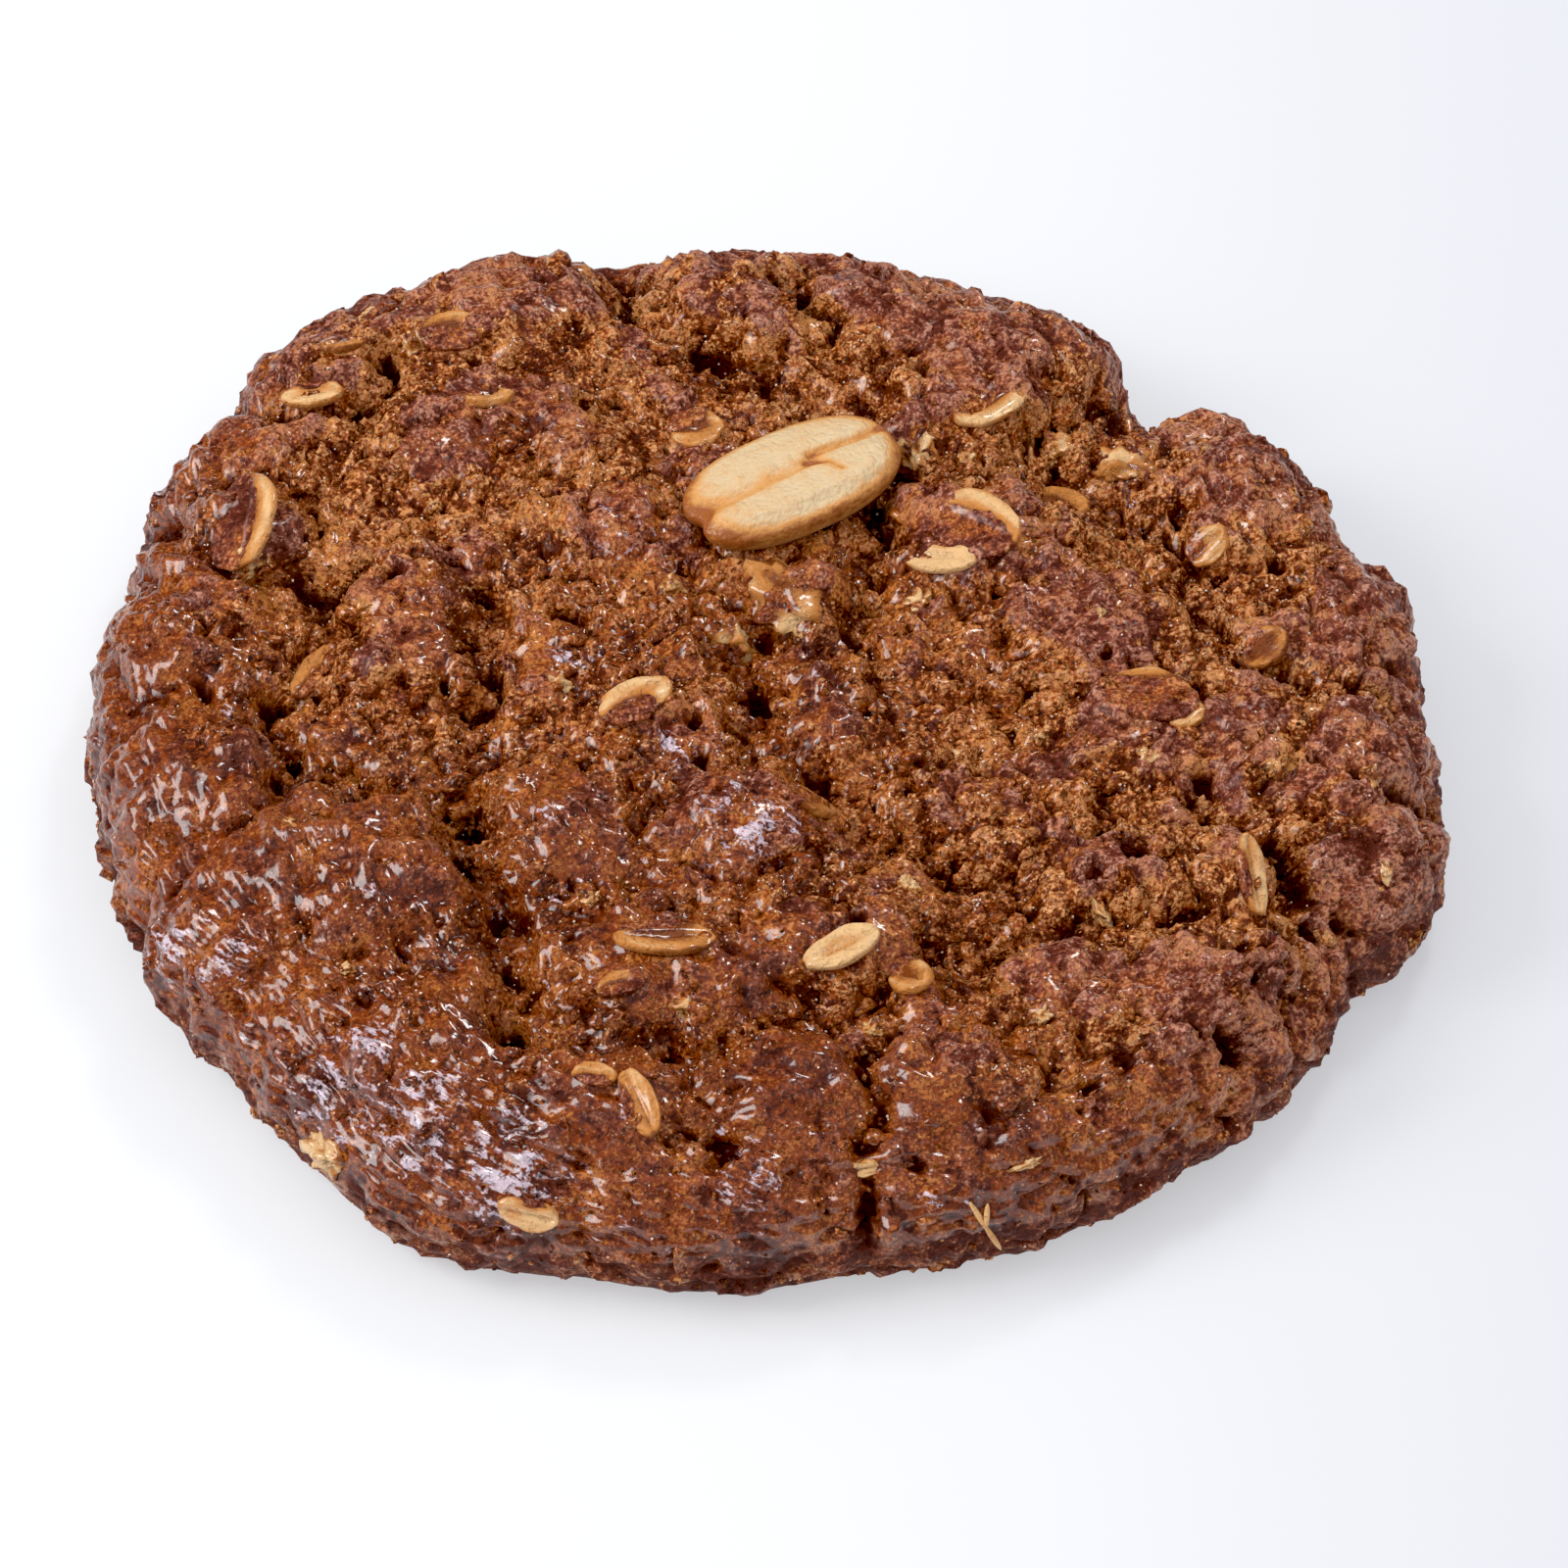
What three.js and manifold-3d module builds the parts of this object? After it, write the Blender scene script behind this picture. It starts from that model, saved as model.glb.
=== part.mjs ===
// A large round oat and peanut cookie, baked dark, with one half peanut pressed into its top.
// Millimetres, +Z up. The origin is the middle of the flat base, and +Y points to the back edge.
import * as THREE from "three";
import { mergeVertices } from "three/addons/utils/BufferGeometryUtils.js";
import Module from "manifold-3d";

// The dough's section, before its lumps
const RIM_RADIUS = 48.9; // from the axis to the edge, where nothing swells or dents it
const WIDEST_HEIGHT = 5.2; // where the side bulges furthest out
const SHOULDER_HEIGHT = 13.2; // top of the dough where it starts to turn down
const MIDDLE_HEIGHT = 13.4; // top of the dough on the axis
const SHOULDER_WIDTH = 13; // how far in from the edge the top turns down
const SHOULDER_SHARPNESS = 2.3; // 2 is a round shoulder, and more is squarer
const FOOT_WIDTH = 4.5; // how far in from the edge the base touches the table
const FADE_HEIGHT = 4; // the lumps die away below this height, towards the flat base

// How finely the dough is faceted
const DOUGH_DETAIL = 19; // rows of triangles on each side of the starting icosahedron
const SECTION_STEPS = 240;
const BASE_SHARE = 0.22; // how dense the facets of the flat base are, against those of the top

// Swells and dents of the round outline: middle in degrees, half-width in degrees, rise in mm
const OUTLINE_SWELLS = [
  [128, 21, 6.4],
  [152, 7, 1.5],
  [142, 2.6, -1.3],
  [88, 12, 1.7],
  [48, 5.5, -5.2],
  [26, 7, -1.4],
  [12, 4, 0.8],
  [-14, 7, 2.2],
  [-27, 4.5, -2.2],
  [-81, 7, -1],
  [-97, 5, 0.7],
  [-118, 10, 2.6],
  [-150, 12, -0.9],
  [174, 12, 1],
];

// Lumps of the crust: x, y, half-length, half-width, turn in degrees, rise
const LUMPS = [
  // along the back edge
  [-19, 40.5, 9, 6, 15, 1.9],
  [-27, 36.5, 7, 4, 35, 1.3],
  [-3, 40, 7.5, 6, 0, 1.9],
  [8, 38.5, 7, 6, -15, 1.7],
  [17, 35, 8, 6, -30, 1.9],
  [22.5, 33.5, 5, 5, -30, 1.7],
  [13.5, 29.5, 6.5, 4, 20, 1.3],
  // down the right side
  [36, 19, 7, 7.5, -30, 2.1],
  [27.5, 20, 5, 4.5, 0, 1.2],
  [43, 9, 5, 7, 0, 1.6],
  [43.5, -4, 5.5, 7, 0, 1.8],
  [34, -4, 6, 6, 0, 1.5],
  [24.5, 5, 7.5, 7, 0, 1.7],
  [17, 14.5, 8.5, 6, -35, 2.4],
  [27, -5.5, 6, 5, -20, 1.6],
  [43.5, -17, 5, 9, 10, 1.8],
  [33.5, -17.5, 4, 4.5, 0, 1.3],
  [26, -18.5, 6.5, 4, 0, 1.2],
  // along the front
  [31, -28.5, 8, 5.5, 25, 1.7],
  [21.5, -30.5, 6, 6, 0, 1.5],
  [12.5, -35.5, 7, 7, 0, 1.6],
  [2, -37.5, 6, 6.5, 0, 1.4],
  [-12, -38, 8, 6, -10, 1.2],
  [-23, -35, 8, 6, -25, 1.3],
  // the middle
  [4.5, -24.5, 7.5, 5.5, 5, 1.9],
  [-8, -27.5, 8.5, 6, -5, 1.8],
  [-1.5, -14, 6.5, 5.5, -10, 2.5],
  [-14.5, -14.5, 6, 6, 0, 1.9],
  [-8, -5.5, 6.5, 5, 0, 1.3],
  [2.8, 7.5, 4, 4, 0, 1.7],
  [4.5, -3, 5, 5, 0, 1.5],
  [-12, 17, 7, 6, 0, 1.4],
  [-20, 25, 10, 7.5, 0, 1.6],
  // down the left side
  [-26, 5.5, 6.5, 8, 10, 1.6],
  [-28.5, -18.5, 10, 7.5, -10, 2.7],
  [-38, -22, 6, 6, 30, 1.4],
  [-41, -8.5, 7.5, 5.5, -15, 2.1],
  [-42, 6, 6, 6, 0, 1.8],
  [-39.5, 16, 6.5, 5, 10, 2],
  [-37.5, 25.5, 7.5, 4.5, 35, 1.6],
  [-34, 33, 6, 4.5, 35, 1.4],
];
const LUMP_ROUNDNESS = 0.62; // the power that rounds a lump's edge: less is steeper

// Crevices: half-width, depth, then the plan points that they pass
const CREVICES = [
  { width: 2.2, depth: 2.6, path: [[-11.5, 45], [-10, 40], [-4, 35], [2, 31], [7, 27.5]] },
  { width: 1.4, depth: 1.8, path: [[1, 42], [4, 38.5], [5.5, 34]] },
  { width: 2.6, depth: 2.8, path: [[30, 32], [24, 28], [20.5, 25.5], [22.5, 20.5], [29, 16]] },
  { width: 1.5, depth: 2, path: [[9.5, 21], [8, 14], [6.8, 8], [7, 3]] },
  { width: 1.3, depth: 1.8, path: [[30.5, 14], [33, 10], [33.5, 4], [38, 1], [46, -1]] },
  { width: 1.8, depth: 2.3, path: [[-1.5, 4], [0, -2], [0, -7]] },
  { width: 1.6, depth: 2.2, path: [[-21, 9], [-20.3, 0], [-21, -9], [-21.3, -17], [-18, -24], [-17, -34]] },
  { width: 1.6, depth: 2.2, path: [[-31.5, 10], [-33, 2], [-35.5, -3], [-33, -9], [-26, -10.8], [-21, -12]] },
  { width: 1.3, depth: 1.8, path: [[-47, 20], [-41, 14], [-37.5, 10.5], [-31.5, 10]] },
  { width: 1.3, depth: 1.6, path: [[-42, 29.5], [-36, 28], [-29.5, 28.5], [-28.3, 33.5]] },
  { width: 1.5, depth: 1.8, path: [[-17, -33], [-7, -35], [0, -33.5], [8, -30.5]] },
  { width: 1.9, depth: 2.2, path: [[4, -9], [7, -13], [13, -17], [18.5, -20.5]] },
  { width: 1.4, depth: 1.7, path: [[12, -27.5], [17, -25], [22.5, -24], [27, -22.5], [33, -24.5]] },
  { width: 1.4, depth: 1.8, path: [[32, -12], [37, -16], [38, -23], [39.5, -31]] },
  { width: 1.1, depth: 1.3, path: [[9.6, -30], [7.5, -38], [8, -46]] },
];

// Rolled oats that lie in the crust: x, y, length, width, turn in degrees, tilt in degrees, how far it stands out
const OATS = [
  [17.2, 28.4, 6.8, 3.6, 40, -16, 0.45],
  [15.9, 13.5, 8, 5.2, -42, 14, 0.45],
  [13.2, 11.1, 6.2, 2.7, -24, -16, 0.5],
  [-9.2, -3.8, 5.9, 3.6, 38, 10, 0.5],
  [-6.7, -26.9, 7.2, 3.3, 6, -10, 0.4],
  [5.8, -27.4, 5.8, 3.1, 27, -12, 0.65],
  [10.6, -30, 4.7, 2.9, -56, 12, 0.55],
  [-8.3, -40.6, 5.4, 2.5, -67, 12, 0.45],
  [-38.2, 14.8, 8.4, 6, 78, -12, 0.5],
  [-34, 29.2, 4.6, 2.4, 10, -15, 0.45],
  [-23.6, 35.4, 5.4, 3.4, 15, 12, 0.4],
  [-31.7, 34.4, 4.2, 2.2, 26, -12, 0.35],
  [-20.5, 27.6, 3.8, 2.3, 9, -10, 0.4],
  [-32.8, 1.9, 5.2, 2.3, 58, 12, 0.45],
  [-5.1, 25.6, 4.4, 3.8, 10, 10, 0.4],
  [28, -3, 7.6, 5.4, -30, 12, 0.45],
  [34.7, -19.7, 6.2, 2.2, -71, 22, 0.5],
  [36.8, 3.4, 4, 3, 36, -12, 0.35],
  [32.9, 13.1, 3.6, 2.8, 26, 10, 0.35],
  [-15.9, -46.3, 4.4, 2.3, -17, 10, 0.5],
  [22.5, 20, 5.4, 2.6, -51, 18, 0.45],
  [3, -12.3, 5.2, 4.6, -10, -8, 0.45],
  [30.5, -5, 3, 2.4, 29, 8, 0.35],
  [-9.6, -30.5, 4, 2.1, 19, -10, 0.4],
  [-11.4, -38.7, 3.2, 1.8, -14, 8, 0.4],
  [6.9, -43.4, 2.6, 1.3, 10, 8, 0.4],
];
const OAT_THICKNESS = 1.1;
const OAT_SIDES = 8;
const OAT_BANDS = 4;

// Chopped nuts that stand in the crust: x, y, length, width, height, turn in degrees, how far it stands out
const NUTS = [
  [22.4, 25.8, 3.2, 2.7, 2.4, 20, 1],
  [26.6, 21.2, 4.3, 3.6, 2.8, -10, 0.9],
  [11.7, 23.2, 2.7, 3.8, 2.4, 10, 0.8],
  [2.6, 7.2, 7.6, 6.9, 4, 10, 0.7],
  [-2.1, 4.7, 4.8, 3.8, 2.6, 30, 0.8],
  [-26.6, 34.3, 3.2, 2.8, 2.2, 0, 0.6],
  [-30.2, -39.7, 4.2, 2.8, 2.4, -40, 0.6],
  [-37.7, 11.7, 3, 2.2, 2, 20, 0.6],
];
const NUT_SIDES = 8;
const NUT_BANDS = 6;
const NUT_CORNER_LOSS = 0.88; // its corners are chipped off, so it is this share of its full size

// The half peanut
const PEANUT = {
  x: 2.2,
  y: 18.4,
  turn: 32, // degrees from +X, seen from above
  length: 17.4,
  width: 9.6,
  thickness: 4.6,
  sunk: 1.5, // how deep its underside lies below the crust around it
  faceFlatness: 0.45, // the flat inner face, which points up, is this share of the rounded back's height
  bluntness: 2.5, // 2 is an ellipse seen from above, and more has squarer ends
  grooveDepth: 0.7,
  grooveWidth: 0.9,
};
const PEANUT_DETAIL = 6;
const PEANUT_CLEARANCE = 0.35; // gap to the socket that it is pressed into

// Shared small helpers
const degrees = THREE.MathUtils.degToRad;
const smoothstep = THREE.MathUtils.smoothstep;

// The superellipse's quarter: 0 at the start and 1 at the end of a rounded shoulder.
function rounded(share, sharpness) {
  return Math.pow(1 - Math.pow(1 - share, sharpness), 1 / sharpness);
}

// The distance from the axis to the edge, in a direction given in radians.
function edgeRadius(angle) {
  let radius = RIM_RADIUS;
  for (const [middle, spread, rise] of OUTLINE_SWELLS) {
    const away = THREE.MathUtils.euclideanModulo(angle - degrees(middle) + Math.PI, 2 * Math.PI) - Math.PI;
    radius += rise * Math.exp(-((away / degrees(spread)) ** 2));
  }
  return radius;
}

// Height of the plain top at a distance from the axis, for an edge at RIM_RADIUS.
function topHeight(r) {
  const inner = RIM_RADIUS - SHOULDER_WIDTH;
  if (r <= inner) return MIDDLE_HEIGHT + (SHOULDER_HEIGHT - MIDDLE_HEIGHT) * (r / inner) ** 2;
  const share = Math.max(0, (RIM_RADIUS - r) / SHOULDER_WIDTH);
  return WIDEST_HEIGHT + (SHOULDER_HEIGHT - WIDEST_HEIGHT) * rounded(share, SHOULDER_SHARPNESS);
}

// The half section, from the middle of the top round the edge to the middle of the base.
function halfSection() {
  const points = [];
  for (let i = 0; i <= SECTION_STEPS; i++) {
    const r = RIM_RADIUS * Math.sin((i / SECTION_STEPS) * (Math.PI / 2));
    points.push(new THREE.Vector2(r, topHeight(r)));
  }
  for (let i = 1; i <= SECTION_STEPS / 4; i++) {
    const turn = (i / (SECTION_STEPS / 4)) * (Math.PI / 2);
    points.push(
      new THREE.Vector2(RIM_RADIUS - FOOT_WIDTH * (1 - Math.cos(turn)), WIDEST_HEIGHT * (1 - Math.sin(turn))),
    );
  }
  const foot = RIM_RADIUS - FOOT_WIDTH;
  for (let i = 1; i <= SECTION_STEPS / 4; i++) {
    points.push(new THREE.Vector2(foot * (1 - i / (SECTION_STEPS / 4)), 0));
  }
  return points;
}

// The section with, at each point, the share of the skin that lies before it and its outward normal.
function measuredSection() {
  const points = halfSection();
  let area = 0;
  const rows = points.map((p, i) => {
    const before = points[Math.max(0, i - 1)];
    const after = points[Math.min(points.length - 1, i + 1)];
    const weight = p.y === 0 && before.y === 0 ? BASE_SHARE : 1;
    area += (weight * p.distanceTo(before) * (p.x + before.x)) / 2;
    const along = after.clone().sub(before).normalize();
    return { r: p.x, z: p.y, area, normal: new THREE.Vector2(-along.y, along.x) };
  });
  rows.forEach((row) => {
    row.share = row.area / area;
  });
  return rows;
}

// How high a lump stands at a plan point, or nothing outside it.
function lumpAt(x, y, [middleX, middleY, length, width, turn, rise]) {
  const c = Math.cos(degrees(turn));
  const s = Math.sin(degrees(turn));
  const u = ((x - middleX) * c + (y - middleY) * s) / length;
  const v = ((y - middleY) * c - (x - middleX) * s) / width;
  return rise * Math.pow(Math.max(0, 1 - u * u - v * v), LUMP_ROUNDNESS);
}

// The distance from a plan point to a path of straight stretches.
function distanceToPath(x, y, path) {
  let nearest = Infinity;
  for (let i = 1; i < path.length; i++) {
    const [ax, ay] = path[i - 1];
    const [bx, by] = path[i];
    const share = ((x - ax) * (bx - ax) + (y - ay) * (by - ay)) / ((bx - ax) ** 2 + (by - ay) ** 2);
    const t = THREE.MathUtils.clamp(share, 0, 1);
    nearest = Math.min(nearest, Math.hypot(x - ax - t * (bx - ax), y - ay - t * (by - ay)));
  }
  return nearest;
}

// Crags finer than the lumps: waves whose lengths share no common step.
function crags(x, y, z) {
  const broad = Math.sin(0.61 * x + 1.3 * Math.sin(0.37 * y)) * Math.cos(0.67 * y - 1.1 * Math.sin(0.43 * x));
  const close = Math.sin(1.27 * x - 0.83 * y + 0.5 * z) * Math.sin(0.94 * x + 1.39 * y - 0.9 * z);
  return 0.3 * broad + 0.22 * close;
}

// Relief of the crust over the plain dough: its highest lump, less the crevices, plus the crags.
function relief(x, y, z) {
  const wobble = 0.7;
  const wx = x + wobble * Math.sin(0.9 * y + 0.4 * x);
  const wy = y + wobble * Math.sin(0.8 * x - 0.5 * y);
  let height = 0;
  for (const lump of LUMPS) height = Math.max(height, lumpAt(wx, wy, lump));
  for (const { width, depth, path } of CREVICES) {
    height -= depth * Math.exp(-((distanceToPath(wx, wy, path) / width) ** 2)) * smoothstep(z, 5, 11);
  }
  return height + crags(x, y, z);
}

// The dough: an icosphere's points laid along the section by share of skin, then pushed out by the relief.
function doughGeometry() {
  const section = measuredSection();
  const ball = new THREE.IcosahedronGeometry(1, DOUGH_DETAIL);
  ball.deleteAttribute("normal");
  ball.deleteAttribute("uv");
  const geometry = mergeVertices(ball);
  const position = geometry.getAttribute("position");
  for (let i = 0; i < position.count; i++) {
    const share = (1 - THREE.MathUtils.clamp(position.getZ(i), -1, 1)) / 2;
    const angle = Math.atan2(position.getY(i), position.getX(i));
    const upper = section.findIndex((row) => row.share >= share - 1e-9);
    const b = section[Math.max(1, upper)];
    const a = section[Math.max(0, upper - 1)];
    const t = THREE.MathUtils.clamp((share - a.share) / Math.max(b.share - a.share, 1e-9), 0, 1);
    const stretch = edgeRadius(angle) / RIM_RADIUS;
    const r = THREE.MathUtils.lerp(a.r, b.r, t) * stretch;
    const z = THREE.MathUtils.lerp(a.z, b.z, t);
    const normal = a.normal.clone().lerp(b.normal, t).normalize();
    const x = r * Math.cos(angle);
    const y = r * Math.sin(angle);
    const push = relief(x, y, z) * smoothstep(z, 0, FADE_HEIGHT);
    const out = r + push * normal.x;
    position.setXYZ(i, out * Math.cos(angle), out * Math.sin(angle), Math.max(0, z + push * normal.y));
  }
  return geometry;
}

// Where the crust's skin lies above or beside a plan point.
function skinPoint(x, y) {
  const angle = Math.atan2(y, x);
  const r = (Math.hypot(x, y) * RIM_RADIUS) / edgeRadius(angle);
  const step = 0.1;
  const z = topHeight(r);
  const slope = (topHeight(Math.min(RIM_RADIUS, r + step)) - topHeight(r - step)) / (2 * step);
  const normal = new THREE.Vector3(-slope * Math.cos(angle), -slope * Math.sin(angle), 1).normalize();
  const point = new THREE.Vector3(x, y, z).addScaledVector(normal, relief(x, y, z) * smoothstep(z, 0, FADE_HEIGHT));
  return { point, normal };
}

// Stands a small piece on the crust at a plan point, with its middle raised by a lift.
function standOnCrust(piece, x, y, lift) {
  const { point, normal } = skinPoint(x, y);
  piece.applyQuaternion(new THREE.Quaternion().setFromUnitVectors(new THREE.Vector3(0, 0, 1), normal));
  const middle = point.addScaledVector(normal, lift);
  return piece.translate(middle.x, middle.y, middle.z);
}

// One rolled oat: a flat rounded flake, tilted so that one long edge stands out of the crust.
function oatGeometry([x, y, length, width, turn, tilt, out]) {
  const flake = new THREE.SphereGeometry(1, OAT_SIDES, OAT_BANDS);
  flake.rotateX(Math.PI / 2);
  flake.scale(length / 2, width / 2, OAT_THICKNESS / 2);
  flake.rotateX(degrees(tilt));
  flake.rotateZ(degrees(turn));
  return standOnCrust(flake, x, y, out - OAT_THICKNESS / 2);
}

// One piece of chopped nut: a chunk with few faces.
function nutGeometry([x, y, length, width, height, turn, out]) {
  const chunk = new THREE.SphereGeometry(NUT_CORNER_LOSS, NUT_SIDES, NUT_BANDS);
  chunk.rotateX(Math.PI / 2);
  chunk.scale(length / 2, width / 2, height / 2);
  chunk.rotateZ(degrees(turn));
  return standOnCrust(chunk, x, y, out - height / 2);
}

// The half peanut, grown by a clearance for its socket: a rounded back below and a nearly flat grooved face above.
function peanutGeometry(clearance) {
  const { length, width, thickness, faceFlatness, bluntness, grooveDepth, grooveWidth } = PEANUT;
  const ball = new THREE.IcosahedronGeometry(1, PEANUT_DETAIL);
  ball.deleteAttribute("normal");
  ball.deleteAttribute("uv");
  const geometry = mergeVertices(ball);
  const position = geometry.getAttribute("position");
  const back = thickness / (1 + faceFlatness);
  for (let i = 0; i < position.count; i++) {
    const u = position.getX(i);
    const v = position.getY(i);
    const w = position.getZ(i);
    const round = Math.hypot(u, v);
    const square = round > 0 ? round / Math.pow(Math.abs(u) ** bluntness + Math.abs(v) ** bluntness, 1 / bluntness) : 1;
    const x = u * square * (length / 2 + clearance);
    const y = v * square * (width / 2 + clearance);
    let z = w < 0 ? w * (back + clearance) : Math.pow(w, 0.75) * (back * faceFlatness + clearance);
    if (w > 0 && clearance === 0) {
      const groove = y + 0.5 - 0.05 * x; // zero along the groove
      z -= grooveDepth * Math.exp(-((groove / grooveWidth) ** 2)) * smoothstep(w, 0.15, 0.7);
    }
    position.setXYZ(i, x, y, z);
  }
  return geometry;
}

// A closed geometry as a solid that can be joined and cut.
function solidOf(geometry, wasm) {
  const bare = geometry.clone();
  bare.deleteAttribute("normal");
  bare.deleteAttribute("uv");
  const merged = mergeVertices(bare, 1e-4);
  return new wasm.Manifold(
    new wasm.Mesh({
      numProp: 3,
      vertProperties: merged.getAttribute("position").array,
      triVerts: new Uint32Array(merged.index.array),
    }),
  );
}

// A solid back as a geometry.
function geometryOf(solid) {
  const { vertProperties, triVerts, numProp } = solid.getMesh();
  const position = new Float32Array((vertProperties.length / numProp) * 3);
  for (let i = 0; i * numProp < vertProperties.length; i++) {
    position.set(vertProperties.subarray(i * numProp, i * numProp + 3), i * 3);
  }
  const geometry = new THREE.BufferGeometry();
  geometry.setAttribute("position", new THREE.BufferAttribute(position, 3));
  geometry.setIndex(new THREE.BufferAttribute(new Uint32Array(triVerts), 1));
  geometry.computeVertexNormals();
  return geometry;
}

const wasm = await Module();
wasm.setup();

// Where the peanut lies, and the middle of its body above the crust
const peanutSeat = skinPoint(PEANUT.x, PEANUT.y).point;
const peanutMiddle = MIDDLE_HEIGHT - PEANUT.sunk + PEANUT.thickness / (1 + PEANUT.faceFlatness);

function placePeanut(object) {
  object.position.set(peanutSeat.x, peanutSeat.y, peanutMiddle);
  object.rotation.set(0, 0, degrees(PEANUT.turn));
  object.updateMatrix();
  return object;
}

const crustMaterial = new THREE.MeshStandardMaterial({ color: 0x86523b, roughness: 0.6, metalness: 0 });
const peanutMaterial = new THREE.MeshStandardMaterial({ color: 0xe1b88b, roughness: 0.5, metalness: 0 });

let dough = solidOf(doughGeometry(), wasm);
for (const oat of OATS) dough = dough.add(solidOf(oatGeometry(oat), wasm));
for (const nut of NUTS) dough = dough.add(solidOf(nutGeometry(nut), wasm));
const socket = placePeanut(new THREE.Mesh(peanutGeometry(PEANUT_CLEARANCE)));
dough = dough.subtract(solidOf(socket.geometry.clone().applyMatrix4(socket.matrix), wasm));

const cookie = new THREE.Mesh(geometryOf(dough), crustMaterial);
cookie.name = "cookie";

const peanut = placePeanut(new THREE.Mesh(peanutGeometry(0), peanutMaterial));
peanut.name = "peanut_half";

const model = new THREE.Group();
model.add(cookie, peanut);

export default model;
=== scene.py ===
"""A large oat and peanut cookie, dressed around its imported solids.

The dough repeats the solid's own formulas at a finer step and adds what the solid leaves out: the flaky
clods, pits and torn crumb of a baked crust. Rolled oats, nut pieces, a husk fibre, clods, crumbs and sugar
grains lie in it, and a half peanut is pressed into its top. Lengths are in millimetres until a mesh is
written, and metres from then on.
"""

import logging
import math
from dataclasses import dataclass
from enum import Enum
from typing import Callable, ClassVar, Sequence

import bpy
import numpy as np
from mathutils import Matrix, Vector, noise
from mathutils.bvhtree import BVHTree


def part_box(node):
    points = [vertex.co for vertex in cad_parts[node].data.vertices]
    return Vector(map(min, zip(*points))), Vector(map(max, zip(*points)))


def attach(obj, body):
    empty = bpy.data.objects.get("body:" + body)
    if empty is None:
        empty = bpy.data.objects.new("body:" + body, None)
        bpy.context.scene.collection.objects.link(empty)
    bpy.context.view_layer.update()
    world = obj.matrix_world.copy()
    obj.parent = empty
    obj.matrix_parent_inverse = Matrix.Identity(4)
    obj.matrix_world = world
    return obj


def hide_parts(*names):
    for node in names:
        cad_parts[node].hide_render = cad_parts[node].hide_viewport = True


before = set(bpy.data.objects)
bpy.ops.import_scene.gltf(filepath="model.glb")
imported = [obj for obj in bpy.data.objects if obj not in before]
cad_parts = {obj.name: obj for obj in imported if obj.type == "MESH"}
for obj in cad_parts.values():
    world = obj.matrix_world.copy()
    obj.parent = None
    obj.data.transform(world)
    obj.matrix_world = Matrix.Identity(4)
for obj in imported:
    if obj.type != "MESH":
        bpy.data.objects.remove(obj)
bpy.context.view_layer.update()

MM = 0.001
BODY = "root"
FULL_TURN = 6.28
Colour = tuple[float, float, float, float]
Socket = bpy.types.NodeSocket

log = logging.getLogger("cookie")


def srgb(red: int, green: int, blue: int) -> Colour:
    """A colour as it looks on a screen, from 0 to 255 a channel, as linear light.

    Args:
        red: Red channel.
        green: Green channel.
        blue: Blue channel.

    Returns:
        The linear colour with full alpha.
    """
    def linear(channel: int) -> float:
        share = channel / 255
        return share / 12.92 if share <= 0.04045 else ((share + 0.055) / 1.055) ** 2.4

    return (linear(red), linear(green), linear(blue), 1.0)


def smoothstep(value: np.ndarray, low: float, high: float) -> np.ndarray:
    """Rises smoothly from 0 at low to 1 at high, or falls where high is the smaller.

    Args:
        value: Any numbers.
        low: Where the result is 0.
        high: Where the result is 1.

    Returns:
        Numbers from 0 to 1.
    """
    share = np.clip((value - low) / (high - low), 0, 1)
    return share * share * (3 - 2 * share)


def noise_at(points: np.ndarray, size: float, seed: int) -> np.ndarray:
    """Smooth noise at points, from about -1 to 1.

    Args:
        points: Places in millimetres, one a row.
        size: Width of one swell in millimetres.
        seed: Picks another pattern.

    Returns:
        One number a point.
    """
    shift = np.array([13.7, -7.1, 5.3]) * seed
    return np.array([noise.noise(p) for p in (points / size + shift).tolist()])


@dataclass
class Cells:
    """Scattered cells read at points, as clods and pits need them.

    Each row is one point: its distance to the nearest cell's middle and to the second nearest, its offset
    from the nearest middle, all in millimetres, and three chances from 0 to 1 that are the same all over a
    cell.
    """

    nearest: np.ndarray
    second: np.ndarray
    offset: np.ndarray
    chances: np.ndarray

    @classmethod
    def at(cls, points: np.ndarray, size: float, seed: int) -> "Cells":
        """Reads the cells.

        Args:
            points: Places in millimetres, one a row.
            size: Usual width of one cell in millimetres.
            seed: Picks another pattern.

        Returns:
            The cells at those points.
        """
        places = points / size + np.array([4.9, 11.3, -8.7]) * seed
        found = [noise.voronoi(p) for p in places.tolist()]
        distances = np.array([each[0][:2] for each in found])
        middles = np.array([each[1][0] for each in found])
        keys = middles @ np.array([[12.99, 39.35, 26.65], [78.23, 11.14, 83.16], [37.72, 52.23, 9.91]])
        chances = np.abs(np.sin(keys) * 437.58) % 1
        return cls(distances[:, 0] * size, distances[:, 1] * size, (places - middles) * size, chances)

    def crust(self, gap: float) -> np.ndarray:
        """1 on a cell and 0 in the gap between two cells."""
        return smoothstep(self.second - self.nearest, 0, gap)

    def tilted(self, slope: float) -> np.ndarray:
        """Height of each cell as a small plate that leans its own way."""
        return slope * np.einsum("ij,ij->i", self.offset, 2 * self.chances - 1)


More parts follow.
